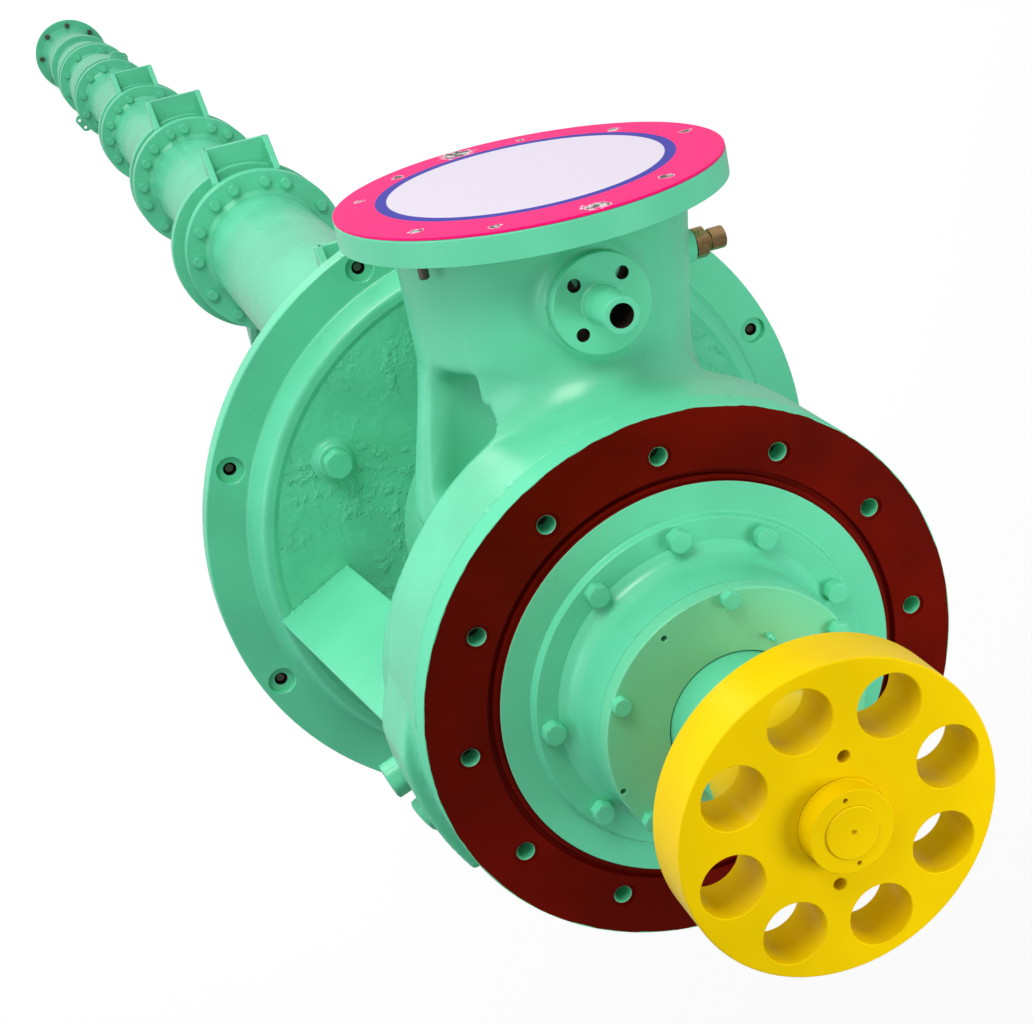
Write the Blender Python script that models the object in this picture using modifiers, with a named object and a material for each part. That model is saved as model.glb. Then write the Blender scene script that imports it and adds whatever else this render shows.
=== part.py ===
"""A long vertical column pump, upright as it stands in its well.

The pump hangs by its base flange: the column of flanged pipes and bowls goes down from it, and the
discharge head with its branch, motor stool and yellow coupling half stands on it. The origin is the
centre of the base flange's underside, +Z runs up the shaft and +X points out of the discharge branch.
Everything is in metres.
"""

import math

import bmesh
import bpy
from mathutils import Matrix

# Clearances
GAP = 0.0003
BEARING_GAP = 0.0004
SLEEVE_GAP = 0.0015

# Sides of the turned pieces
LARGE_SIDES = 48
MEDIUM_SIDES = 36
PIPE_SIDES = 28
SMALL_SIDES = 20
HOLE_SIDES = 10

# Base flange and the raised pad on it
BASE_R = 0.560
BASE_T = 0.038
PAD_FOOT_R = 0.490
PAD_TOP_R = 0.475
PAD_TOP_Z = 0.083
BASE_BORE_R = 0.150
BASE_RECESS_R = 0.243
BASE_RECESS_DEPTH = 0.003
BASE_HOLES = 8
BASE_HOLE_PCR = 0.525
BASE_HOLE_R = 0.0115
BASE_HOLE_TURN = math.radians(21.0)
SPOT_FACE_R = 0.0236
SPOT_FACE_DEPTH = 0.010
PLUG_BOSS_R = 0.031
PLUG_BOSS_TOP_Z = 0.101
PLUG_X, PLUG_Y = 0.198, 0.313
PLUG_R = 0.021
PLUG_H = 0.024

# Head casting: waist, branch and motor stool
WAIST_R = 0.200
STOOL_R = 0.400
STOOL_REAR_Z = 0.620
STOOL_TOP_Z = 0.800
BRANCH_Z = 0.481
BRANCH_TOP_R = 0.215
BRANCH_BORE_R = 0.165
BRANCH_END_X = 0.632
SHAFT_PASSAGE_R = 0.045

# Radial plugs in bosses at the stool's lower edge
SIDE_PLUG_ANGLES = (math.radians(107.5), math.radians(118.5))
SIDE_PLUG_Z = 0.592
SIDE_PLUG_R = 0.030
SIDE_PLUG_H = 0.034
SIDE_BOSS_R = 0.032
SIDE_BOSS_END = 0.405

# Stool legs between the base flange and the motor stool
LEG_T = 0.022
LEG_WIDTH = 0.149
LEG_OUTER_X, LEG_OUTER_Y = -0.067, 0.465
LEG_TURN = math.radians(-64.2)
LEG_LEAN_Y = -0.136

# Discharge flange and the thin cover on it
DISCHARGE_R = 0.288
DISCHARGE_FACE_X = 0.670
DISCHARGE_HOLES = 12
DISCHARGE_HOLE_PCR = 0.250
DISCHARGE_HOLE_R = 0.013
COVER_SHEET_R = 0.2865
COVER_SHEET_T = 0.0037

# Tapping flange with its nozzle, on top of the branch
TAP_X = 0.533
TAP_BOSS_R = 0.078
TAP_BOSS_TOP_Z = 0.705
TAP_FLANGE_R = 0.0725
TAP_FACE_Z = 0.720
TAP_HUB_R = 0.029
TAP_HUB_TOP_Z = 0.7225
TAP_HOLES = 4
TAP_HOLE_PCR = 0.050
TAP_HOLE_R = 0.0098
NOZZLE_R = 0.026
NOZZLE_BORE_R = 0.017
NOZZLE_TOP_Z = 0.793

# Brass fitting on the side of the branch
FITTING_X = 0.508
FITTING_BOSS_R = 0.026
FITTING_BOSS_Y = -0.233
BUSHING_R = 0.022
BUSHING_END_Y = -0.257
FITTING_PLUG_R = 0.0155
FITTING_PLUG_END_Y = -0.285

# Motor flange, bearing plate, bearing housing and its cover
MOTOR_FACE_Z = 0.841
MOTOR_RECESS_R = 0.312
MOTOR_HOLES = 12
MOTOR_HOLE_PCR = 0.343
MOTOR_HOLE_R = 0.0125
MOTOR_HOLE_DEPTH = 0.030
PLATE_R = 0.296
PLATE_Z = 0.846
RING_R = 0.250
RING_Z = 0.858
HOUSING_R = 0.192
HOUSING_TOP_Z = 0.951
HOUSING_COVER_R = 0.191
HOUSING_COVER_Z = 0.978

# Shaft, sleeve and coupling half
SHAFT_R = 0.0355
SHAFT_END_Z = 1.309
SHAFT_JOINT_Z = 0.500
LINE_SHAFT_R = 0.030
SLEEVE_R = 0.099
SLEEVE_FOOT_Z = 0.953
COUPLING_R = 0.2138
COUPLING_REAR_Z = 1.198
COUPLING_FACE_Z = 1.278
HUB_R = 0.0565
HUB_FACE_Z = 1.306
COUPLING_HOLES = 8
COUPLING_HOLE_PCR = 0.1545
COUPLING_HOLE_R = 0.0427
COUPLING_TURN = math.radians(12.6)
PULLER_HOLE_PCR = 0.087
PULLER_HOLE_R = 0.0085
PULLER_HOLE_DEPTH = 0.030

# Column: every flanged joint has an upper disc, a spigot and a lower disc
DISC_T = 0.040
SPIGOT_T = 0.050
LOWER_DISC_T = 0.035
JOINT_T = DISC_T + SPIGOT_T + LOWER_DISC_T
WALL_T = 0.010
WELD = 0.012
# Z of the upper disc's top, radius of both discs, pipe radius above, pipe radius below
JOINTS = (
    (-0.700, 0.258, 0.170, 0.165),
    (-2.303, 0.232, 0.165, 0.155),
    (-3.519, 0.222, 0.155, 0.142),
    (-4.708, 0.194, 0.142, 0.128),
    (-5.854, 0.178, 0.128, 0.128),
    (-6.569, 0.180, 0.128, 0.128),
)
BRACKET_JOINTS = 4
BRACKET_T = 0.016
BRACKET_PLATE_T = 0.018
TOP_DISC_R = 0.240
BOWL_BULGE_R = 0.158
BOWL_END_Z = -7.150
BOWL_END_R = 0.168
BOWL_END_T = 0.030
SUCTION_Z = -7.865
SUCTION_R = 0.189
SUCTION_T = 0.032
SUCTION_NECK_R = 0.140
SUCTION_BORE_R = 0.128
SUCTION_HOLES = 8
SUCTION_HOLE_PCR = 0.160
SUCTION_HOLE_R = 0.010
SUCTION_TURN = math.radians(-6)

# Impeller inside the suction casing
IMPELLER_TOP_Z = -7.300
IMPELLER_H = 0.130
IMPELLER_R = 0.115
IMPELLER_HUB_R = 0.055
IMPELLER_NOSE_R = 0.036
VANES = 5
VANE_T = 0.010
VANE_PITCH = math.radians(52)

for leftover in list(bpy.data.objects):
    bpy.data.objects.remove(leftover)

pump = bpy.data.collections.new("vertical_pump")
cutters = bpy.data.collections.new("cutters")
for collection in (pump, cutters):
    bpy.context.scene.collection.children.link(collection)


def material(name, colour, roughness, metallic=0.0):
    """A Principled material with one plain colour."""
    made = bpy.data.materials.new(name)
    made.use_nodes = True
    shader = made.node_tree.nodes["Principled BSDF"]
    shader.inputs["Base Color"].default_value = (*colour, 1.0)
    shader.inputs["Roughness"].default_value = roughness
    shader.inputs["Metallic"].default_value = metallic
    return made


ENAMEL = material("sea green enamel", (0.115, 0.55, 0.33), 0.28)
PRIMER = material("oxide red primer", (0.105, 0.006, 0.002), 0.42)
YELLOW = material("yellow enamel", (0.76, 0.50, 0.002), 0.30)
STEEL = material("turned steel", (0.42, 0.42, 0.41), 0.35, 1.0)
BRASS = material("brass", (0.47, 0.30, 0.14), 0.33, 1.0)
BRONZE = material("cast bronze", (0.40, 0.25, 0.12), 0.45, 1.0)
FILM = material("pink vinyl film", (0.90, 0.06, 0.28), 0.35)


def add_object(name, mesh, finish, home=pump):
    """Links a mesh as an object with its material, shaded smooth between its sharp edges."""
    made = bpy.data.objects.new(name, mesh)
    home.objects.link(made)
    if finish:
        mesh.materials.append(finish)
    return made


def turned(name, profile, finish, sides=MEDIUM_SIDES, along_x=False, height=0.0, home=pump):
    """A profile of (radius, height) points, run down its outer side, turned about Z or about +X."""
    closed = min(radius for radius, _ in profile) > 0
    count = len(profile)
    edges = [(i, i + 1) for i in range(count - 1)]
    if closed:
        edges.append((count - 1, 0))
    mesh = bpy.data.meshes.new(name)
    mesh.from_pydata([(radius, 0.0, level) for radius, level in profile], edges, [])
    made = add_object(name, mesh, finish, home)
    screw = made.modifiers.new("Turn", "SCREW")
    screw.steps = screw.render_steps = sides
    screw.use_merge_vertices = True
    screw.merge_threshold = 0.00001
    screw.use_smooth_shade = False
    if along_x:
        made.rotation_euler.y = math.pi / 2
        made.location.z = height
    return made


def as_cutter(made):
    """Hides a shape that only cuts or joins others."""
    made.hide_render = True
    made.display_type = "WIRE"
    return made


def cylinder_into(mesh_data, radius, sides, low, high, place):
    """Adds one capped cylinder, from low to high on its own Z, to a bmesh."""
    middle = Matrix.Translation((0.0, 0.0, (low + high) / 2))
    bmesh.ops.create_cone(
        mesh_data, cap_ends=True, segments=sides, radius1=radius, radius2=radius, depth=high - low,
        matrix=place @ middle,
    )


def rods(name, radius, low, high, places, sides=HOLE_SIDES):
    """One cutter object that holds a like cylinder at each place."""
    mesh_data = bmesh.new()
    for place in places:
        cylinder_into(mesh_data, radius, sides, low, high, place)
    mesh = bpy.data.meshes.new(name)
    mesh_data.to_mesh(mesh)
    mesh_data.free()
    return as_cutter(add_object(name, mesh, None, cutters))


def bar(name, radius, sides, low, high, place, finish):
    """A capped cylinder or prism that is a piece of its own."""
    mesh_data = bmesh.new()
    cylinder_into(mesh_data, radius, sides, low, high, place)
    mesh = bpy.data.meshes.new(name)
    mesh_data.to_mesh(mesh)
    mesh_data.free()
    return add_object(name, mesh, finish)


def boolean(made, other, operation="DIFFERENCE"):
    """Adds an exact Boolean with another object."""
    step = made.modifiers.new(operation.title(), "BOOLEAN")
    step.operation = operation
    step.solver = "EXACT"
    step.object = other
    return made


def circle(count, radius, turn=0.0):
    """Places on a circle about Z."""
    angles = [turn + 2 * math.pi * i / count for i in range(count)]
    return [Matrix.Translation((radius * math.cos(a), radius * math.sin(a), 0.0)) for a in angles]


def prism(name, outline, low, high, finish, place=Matrix.Identity(4), home=pump):
    """A flat outline of (x, y) points made solid from low to high on its own Z."""
    mesh_data = bmesh.new()
    corners = [mesh_data.verts.new((x, y, low)) for x, y in outline]
    face = mesh_data.faces.new(corners)
    grown = bmesh.ops.extrude_face_region(mesh_data, geom=[face])
    top = [item for item in grown["geom"] if isinstance(item, bmesh.types.BMVert)]
    bmesh.ops.translate(mesh_data, verts=top, vec=(0.0, 0.0, high - low))
    bmesh.ops.recalc_face_normals(mesh_data, faces=mesh_data.faces)
    bmesh.ops.transform(mesh_data, matrix=place, verts=mesh_data.verts)
    mesh = bpy.data.meshes.new(name)
    mesh_data.to_mesh(mesh)
    mesh_data.free()
    return add_object(name, mesh, finish, home)


X_AXIS = Matrix.Rotation(math.pi / 2, 4, "Y")
MINUS_Y_AXIS = Matrix.Rotation(math.pi / 2, 4, "X")


def make_base_flange():
    """The round mounting flange: a pad on top, a shallow recess for the column below, holes and a boss."""
    profile = (
        (BASE_BORE_R, PAD_TOP_Z), (PAD_TOP_R, PAD_TOP_Z), (PAD_FOOT_R, BASE_T), (BASE_R, BASE_T),
        (BASE_R, 0.0), (BASE_RECESS_R, 0.0), (BASE_RECESS_R, BASE_RECESS_DEPTH),
        (BASE_BORE_R, BASE_RECESS_DEPTH),
    )
    flange = turned("base_flange", profile, ENAMEL, LARGE_SIDES)
    boss_place = Matrix.Translation((PLUG_X, PLUG_Y, 0.0))
    boss = rods("plug boss", PLUG_BOSS_R, BASE_T, PLUG_BOSS_TOP_Z, [boss_place], SMALL_SIDES)
    boolean(flange, boss, "UNION")
    places = circle(BASE_HOLES, BASE_HOLE_PCR, BASE_HOLE_TURN)
    boolean(flange, rods("base bolt holes", BASE_HOLE_R, -0.01, BASE_T + 0.01, places))
    spot_low = BASE_T - SPOT_FACE_DEPTH
    boolean(flange, rods("spot faces", SPOT_FACE_R, spot_low, BASE_T + 0.01, places))
    plug_low = PLUG_BOSS_TOP_Z + GAP
    bar("base_hex_plug", PLUG_R, 6, plug_low, plug_low + PLUG_H, boss_place, ENAMEL)


def make_head():
    """The cast head: a waist on the base flange, the branch towards +X and the round motor stool."""
    foot = PAD_TOP_Z + GAP
    outer = (
        (0.0, STOOL_TOP_Z), (STOOL_R, STOOL_TOP_Z), (STOOL_R, STOOL_REAR_Z), (0.244, STOOL_REAR_Z),
        (0.216, 0.592), (WAIST_R, 0.540), (WAIST_R, 0.150), (0.209, 0.110), (0.235, foot), (0.0, foot),
    )
    head = turned("discharge_head", outer, ENAMEL, LARGE_SIDES)
    branch = (
        (0.0, BRANCH_END_X - GAP), (BRANCH_TOP_R, BRANCH_END_X - GAP), (0.212, 0.500), (0.222, 0.400),
        (0.240, 0.310), (0.236, 0.200), (0.200, 0.060), (0.130, -0.040), (0.0, -0.080),
    )
    neck = turned("branch", branch, None, LARGE_SIDES, True, BRANCH_Z, cutters)
    boolean(head, as_cutter(neck), "UNION")
    tap = Matrix.Translation((TAP_X, 0.0, 0.0))
    boolean(head, rods("tapping boss", TAP_BOSS_R, 0.660, TAP_BOSS_TOP_Z, [tap], SMALL_SIDES), "UNION")
    side = Matrix.Translation((FITTING_X, 0.0, BRANCH_Z)) @ MINUS_Y_AXIS
    fitting_boss = rods("fitting boss", FITTING_BOSS_R, 0.190, -FITTING_BOSS_Y, [side], SMALL_SIDES)
    boolean(head, fitting_boss, "UNION")
    boolean(head, rods("plug bosses", SIDE_BOSS_R, 0.350, SIDE_BOSS_END, side_plug_places()), "UNION")
    upright = [Matrix.Identity(4)]
    boolean(head, rods("waist bore", BASE_BORE_R, 0.0, 0.600, upright, MEDIUM_SIDES))
    outward = [Matrix.Translation((0.0, 0.0, BRANCH_Z)) @ X_AXIS]
    boolean(head, rods("branch bore", BRANCH_BORE_R, 0.0, 0.700, outward, MEDIUM_SIDES))
    boolean(head, rods("shaft passage", SHAFT_PASSAGE_R, 0.500, 0.900, upright, SMALL_SIDES))


def side_plug_places():
    """Where the radial plugs point outwards from."""
    lift = Matrix.Translation((0.0, 0.0, SIDE_PLUG_Z))
    return [Matrix.Rotation(angle, 4, "Z") @ lift @ X_AXIS for angle in SIDE_PLUG_ANGLES]


def make_stool_fittings():
    """The radial hex plugs on the stool and the two leaning legs that carry it."""
    low = SIDE_BOSS_END + GAP
    for number, outward in enumerate(side_plug_places(), 1):
        bar(f"stool_side_plug_{number}", SIDE_PLUG_R, 6, low, low + SIDE_PLUG_H, outward, ENAMEL)
    low = PAD_TOP_Z + GAP
    height = STOOL_REAR_Z - GAP - low
    middle = LEG_WIDTH / 2
    lean = Matrix.Identity(4)
    lean[1][2] = LEG_LEAN_Y
    turn = Matrix.Rotation(LEG_TURN, 4, "Z")
    stand = Matrix.Translation((LEG_OUTER_X, LEG_OUTER_Y, low)) @ lean @ turn
    size = Matrix.Diagonal((LEG_WIDTH, LEG_T, height, 1.0))
    for name, mirror in (("stool_leg_left", 1.0), ("stool_leg_right", -1.0)):
        mesh_data = bmesh.new()
        place = stand @ Matrix.Translation((middle, 0.0, height / 2)) @ size
        bmesh.ops.create_cube(mesh_data, size=1.0, matrix=Matrix.Diagonal((1.0, mirror, 1.0, 1.0)) @ place)
        bmesh.ops.recalc_face_normals(mesh_data, faces=mesh_data.faces)
        mesh = bpy.data.meshes.new(name)
        mesh_data.to_mesh(mesh)
        mesh_data.free()
        add_object(name, mesh, ENAMEL)


def make_discharge_flange():
    """The branch's flange with its bolt holes, closed by a thin sheet."""
    profile = (
        (BRANCH_BORE_R, DISCHARGE_FACE_X), (DISCHARGE_R, DISCHARGE_FACE_X),
        (DISCHARGE_R, BRANCH_END_X), (BRANCH_BORE_R, BRANCH_END_X),
    )
    flange = turned("discharge_flange", profile, ENAMEL, LARGE_SIDES, True, BRANCH_Z)
    centre = Matrix.Translation((0.0, 0.0, BRANCH_Z)) @ X_AXIS
    places = [centre @ place for place in circle(DISCHARGE_HOLES, DISCHARGE_HOLE_PCR)]
    boolean(flange, rods("discharge bolt holes", DISCHARGE_HOLE_R, 0.6, 0.7, places, 8))
    low = DISCHARGE_FACE_X + GAP
    bar("discharge_cover", COVER_SHEET_R, LARGE_SIDES, low, low + COVER_SHEET_T, centre, FILM)


def make_tapping():
    """The small flange on top of the branch with its pipe nozzle."""
    low = TAP_BOSS_TOP_Z + GAP
    centre = Matrix.Translation((TAP_X, 0.0, 0.0))
    profile = (
        (0.0, TAP_HUB_TOP_Z), (TAP_HUB_R, TAP_HUB_TOP_Z), (TAP_HUB_R, TAP_FACE_Z), (TAP_FLANGE_R, TAP_FACE_Z),
        (TAP_FLANGE_R, low), (0.0, low),
    )
    flange = turned("tapping_flange", profile, ENAMEL, MEDIUM_SIDES)
    flange.location.x = TAP_X
    places = [centre @ place for place in circle(TAP_HOLES, TAP_HOLE_PCR, math.pi / 4)]
    boolean(flange, rods("tapping bolt holes", TAP_HOLE_R, 0.69, 0.73, places, 8))
    foot = TAP_HUB_TOP_Z + GAP
    nozzle = bar("tapping_nozzle", NOZZLE_R, SMALL_SIDES, foot, NOZZLE_TOP_Z, centre, ENAMEL)
    boolean(nozzle, rods("nozzle bore", NOZZLE_BORE_R, TAP_FACE_Z + 0.006, 0.83, [centre], SMALL_SIDES))


def make_brass_fitting():
    """The hexagon bushing and plug on the side of the branch."""
    side = Matrix.Translation((FITTING_X, 0.0, BRANCH_Z)) @ MINUS_Y_AXIS
    low = -FITTING_BOSS_Y + GAP
    bar("brass_bushing", BUSHING_R, 6, low, -BUSHING_END_Y, side, BRASS)
    bar("brass_plug", FITTING_PLUG_R, 6, -BUSHING_END_Y + GAP, -FITTING_PLUG_END_Y, side, BRASS)


def make_motor_end():
    """The motor flange, the bearing plate in its recess, the bearing housing and its cover."""
    foot = STOOL_TOP_Z + GAP
    flange_profile = (
        (MOTOR_RECESS_R, MOTOR_FACE_Z), (STOOL_R, MOTOR_FACE_Z), (STOOL_R, foot), (MOTOR_RECESS_R, foot),
    )
    flange = turned("motor_flange", flange_profile, PRIMER, LARGE_SIDES)
    places = circle(MOTOR_HOLES, MOTOR_HOLE_PCR)
    low = MOTOR_FACE_Z - MOTOR_HOLE_DEPTH
    boolean(flange, rods("motor bolt holes", MOTOR_HOLE_R, low, MOTOR_FACE_Z + 0.01, places))
    bore = SHAFT_PASSAGE_R
    plate_profile = (
        (bore, RING_Z), (RING_R, RING_Z), (RING_R, PLATE_Z), (PLATE_R, PLATE_Z), (PLATE_R, foot),
        (bore, foot),
    )
    turned("bearing_plate", plate_profile, ENAMEL, LARGE_SIDES)
    bore = SHAFT_R + BEARING_GAP
    foot = RING_Z + GAP
    housing_profile = (
        (bore, HOUSING_TOP_Z), (HOUSING_R, HOUSING_TOP_Z), (HOUSING_R, 0.890), (0.197, 0.874),
        (0.213, foot), (bore, foot),
    )
    turned("bearing_housing", housing_profile, ENAMEL)
    bore = SLEEVE_R + SLEEVE_GAP
    foot = HOUSING_TOP_Z + GAP
    cover_profile = (
        (bore, HOUSING_COVER_Z), (HOUSING_COVER_R, HOUSING_COVER_Z), (HOUSING_COVER_R, foot), (bore, foot),
    )
    turned("bearing_cover", cover_profile, ENAMEL)


def make_rotor():
    """What turns: the shafts, the sleeve under the coupling, the coupling half and the impeller."""
    upright = Matrix.Identity(4)
    bar("drive_shaft", SHAFT_R, MEDIUM_SIDES, SHAFT_JOINT_Z, SHAFT_END_Z, upright, YELLOW)
    line_low = IMPELLER_TOP_Z + GAP
    bar("line_shaft", LINE_SHAFT_R, SMALL_SIDES, line_low, SHAFT_JOINT_Z - GAP, upright, STEEL)
    bore = SHAFT_R + GAP
    top = COUPLING_REAR_Z - GAP
    sleeve_profile = ((bore, top), (SLEEVE_R, top), (SLEEVE_R, SLEEVE_FOOT_Z), (bore, SLEEVE_FOOT_Z))
    turned("shaft_sleeve", sleeve_profile, ENAMEL)
    coupling_profile = (
        (bore, HUB_FACE_Z), (HUB_R, HUB_FACE_Z), (HUB_R, COUPLING_FACE_Z), (COUPLING_R, COUPLING_FACE_Z),
        (COUPLING_R, COUPLING_REAR_Z), (bore, COUPLING_REAR_Z),
    )
    coupling = turned("coupling_half", coupling_profile, YELLOW, LARGE_SIDES)
    places = circle(COUPLING_HOLES, COUPLING_HOLE_PCR, COUPLING_TURN)
    boolean(coupling, rods("coupling pin holes", COUPLING_HOLE_R, 1.1, 1.4, places, SMALL_SIDES))
    places = circle(2, PULLER_HOLE_PCR, COUPLING_TURN - math.pi / COUPLING_HOLES)
    low = COUPLING_FACE_Z - PULLER_HOLE_DEPTH
    boolean(coupling, rods("puller holes", PULLER_HOLE_R, low, 1.4, places, 8))
    make_impeller()


def make_impeller():
    """A hub that narrows towards the mouth, with pitched vanes fused to it."""
    low = IMPELLER_TOP_Z - IMPELLER_H
    hub_profile = (
        (0.0, IMPELLER_TOP_Z), (IMPELLER_HUB_R, IMPELLER_TOP_Z), (IMPELLER_NOSE_R, low + 0.020),
        (0.020, low + 0.004), (0.0, low),
    )
    impeller = turned("impeller", hub_profile, BRONZE, SMALL_SIDES)
    middle = IMPELLER_TOP_Z - IMPELLER_H / 2
    half = 0.055
    mesh_data = bmesh.new()
    for i in range(VANES):
        place = Matrix.Rotation(2 * math.pi * i / VANES, 4, "Z") @ Matrix.Translation((0.0, 0.0, middle))
        tilt = Matrix.Rotation(VANE_PITCH, 4, "X")
        reach = Matrix.Translation(((IMPELLER_NOSE_R + IMPELLER_R) / 2, 0.0, 0.0))
        size = Matrix.Diagonal((IMPELLER_R - IMPELLER_NOSE_R, 2 * half, VANE_T, 1.0))
        bmesh.ops.create_cube(mesh_data, size=1.0, matrix=place @ reach @ tilt @ size)
    mesh = bpy.data.meshes.new("vanes")
    mesh_data.to_mesh(mesh)
    mesh_data.free()
    boolean(impeller, as_cutter(add_object("vanes", mesh, None, cutters)), "UNION")


def lower_end(level, disc_r, pipe_r):
    """Outer profile of a pipe's lower end, down to its disc's underside."""
    return [(pipe_r, level + WELD), (pipe_r + WELD, level), (disc_r, level), (disc_r, level - DISC_T)]


def upper_end(level, disc_r, pipe_r):
    """Outer profile of a pipe's upper end: the spigot under the joint above it, then its disc."""
    spigot_r = (disc_r + pipe_r) / 2 - 0.008
    top = level - DISC_T - GAP
    disc_top = level - DISC_T - SPIGOT_T
    disc_low = disc_top - LOWER_DISC_T
    return [
        (spigot_r, top), (spigot_r, disc_top), (disc_r, disc_top), (disc_r, disc_low),
        (pipe_r + WELD, disc_low), (pipe_r, disc_low - WELD),
    ]


def hollow(outer, bore_r):
    """Closes an outer profile with a straight bore."""
    return [(bore_r, outer[0][1])] + outer + [(bore_r, outer[-1][1])]


def make_column():
    """The pipes and bowls between the base flange and the suction casing."""
    top = BASE_RECESS_DEPTH - GAP
    low = -DISC_T
    level, disc_r, pipe_r, _ = JOINTS[0]
    start = [(TOP_DISC_R, top), (TOP_DISC_R, low), (pipe_r + WELD, low), (pipe_r, low - WELD)]
    turned("column_pipe_1", hollow(start + lower_end(level, disc_r, pipe_r), pipe_r - WALL_T),
           ENAMEL, PIPE_SIDES)
    for number in range(1, len(JOINTS)):
        level, disc_r, _, pipe_r = JOINTS[number - 1]
        next_level, next_r, _, _ = JOINTS[number]
        body = []
        is_bowl = number == len(JOINTS) - 1
        if is_bowl:
            body = bulge(level - JOINT_T - WELD, next_level + WELD)
        outer = upper_end(level, disc_r, pipe_r) + body + lower_end(next_level, next_r, pipe_r)
        name = "bowl_1" if is_bowl else f"column_pipe_{number + 1}"
        turned(name, hollow(outer, pipe_r - WALL_T), ENAMEL, PIPE_SIDES)
    level, disc_r, _, pipe_r = JOINTS[-1]
    body = bulge(level - JOINT_T - WELD, BOWL_END_Z + WELD)
    end = [(pipe_r + WELD, BOWL_END_Z), (BOWL_END_R, BOWL_END_Z), (BOWL_END_R, BOWL_END_Z - BOWL_END_T)]
    outer = upper_end(level, disc_r, pipe_r) + body + end
    turned("bowl_2", hollow(outer, pipe_r - WALL_T), ENAMEL, PIPE_SIDES)


def bulge(high, low):
    """The rounded middle of a bowl, as points on a half wave."""
    points = []
    end_r = JOINTS[-1][3]
    for i in range(1, 6):
        share = i / 6
        radius = end_r + (BOWL_BULGE_R - end_r) * math.sin(math.pi * share)
        points.append((radius, high + (low - high) * share))
    return points


def make_suction():
    """The suction casing with its open flange at the foot of the column."""
    top = BOWL_END_Z - BOWL_END_T - GAP
    outer = [
        (BOWL_END_R, top), (BOWL_END_R, top - BOWL_END_T), (SUCTION_NECK_R + WELD, top - BOWL_END_T),
        (SUCTION_NECK_R, top - BOWL_END_T - WELD), (SUCTION_NECK_R, SUCTION_Z + SUCTION_T + WELD),
        (SUCTION_NECK_R + WELD, SUCTION_Z + SUCTION_T), (SUCTION_R, SUCTION_Z + SUCTION_T),
        (SUCTION_R, SUCTION_Z),
    ]
    casing = turned("suction_casing", hollow(outer, SUCTION_BORE_R), ENAMEL, PIPE_SIDES)
    places = circle(SUCTION_HOLES, SUCTION_HOLE_PCR, SUCTION_TURN)
    low = SUCTION_Z - 0.01
    boolean(casing, rods("suction bolt holes", SUCTION_HOLE_R, low, low + 0.06, places, 8))


def make_brackets():
    """The open box brackets behind the flanged joints, towards the branch and away from it."""
    for number in range(BRACKET_JOINTS):
        level, disc_r, _, pipe_r = JOINTS[number]
        half = 0.43 * disc_r
        reach = 1.29 * disc_r
        front = level - DISC_T - GAP
        back = level - JOINT_T - GAP - BRACKET_PLATE_T
        outline = (
            (pipe_r - 0.03, front), (disc_r * 0.93, front), (reach, back + BRACKET_PLATE_T), (reach, back),
            (pipe_r - 0.03, back),
        )
        clearance = clearance_of(level, disc_r, pipe_r)
        for side, turn in (("front", 0.0), ("rear", math.pi)):
            facing = Matrix.Rotation(turn, 4, "Z") @ Matrix.Rotation(math.pi / 2, 4, "X")
            bracket = prism(f"bracket_{number + 1}_{side}", outline, -half, half, ENAMEL, facing)
            inner = half - BRACKET_T
            pocket_outline = (
                (0.0, front + 0.05), (reach + 0.05, front + 0.05), (reach + 0.05, back + BRACKET_PLATE_T),
                (0.0, back + BRACKET_PLATE_T),
            )
            pocket = prism("bracket pocket", pocket_outline, -inner, inner, None, facing, cutters)
            boolean(bracket, as_cutter(pocket))
            boolean(bracket, clearance)


def clearance_of(level, disc_r, pipe_r):
    """The joint's lower discs and pipe, slightly larger, to cut a bracket free of them."""
    spigot_r = (disc_r + pipe_r) / 2 - 0.008 + GAP
    disc_top = level - DISC_T - SPIGOT_T + GAP
    disc_low = level - JOINT_T - GAP
    profile = (
        (0.0, level), (spigot_r, level), (spigot_r, disc_top), (disc_r + GAP, disc_top),
        (disc_r + GAP, disc_low), (pipe_r + WELD + GAP, disc_low), (pipe_r + GAP, disc_low - WELD),
        (pipe_r + GAP, disc_low - 0.2), (0.0, disc_low - 0.2),
    )
    return as_cutter(turned("joint clearance", profile, None, PIPE_SIDES, home=cutters))


def shade_round_pieces():
    """Smooth shading with sharp edges kept, on meshes that no modifier rebuilds."""
    for made in pump.objects:
        if not made.modifiers:
            made.data.shade_smooth()
            made.data.set_sharp_from_angle(angle=math.radians(35))


make_base_flange()
make_head()
make_stool_fittings()
make_discharge_flange()
make_tapping()
make_brass_fitting()
make_motor_end()
make_rotor()
make_column()
make_suction()
make_brackets()
shade_round_pieces()
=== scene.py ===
import math
from itertools import product

import bpy
import numpy as np
from bpy.props import FloatProperty, FloatVectorProperty, PointerProperty
from mathutils import Euler, Matrix, Vector


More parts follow.
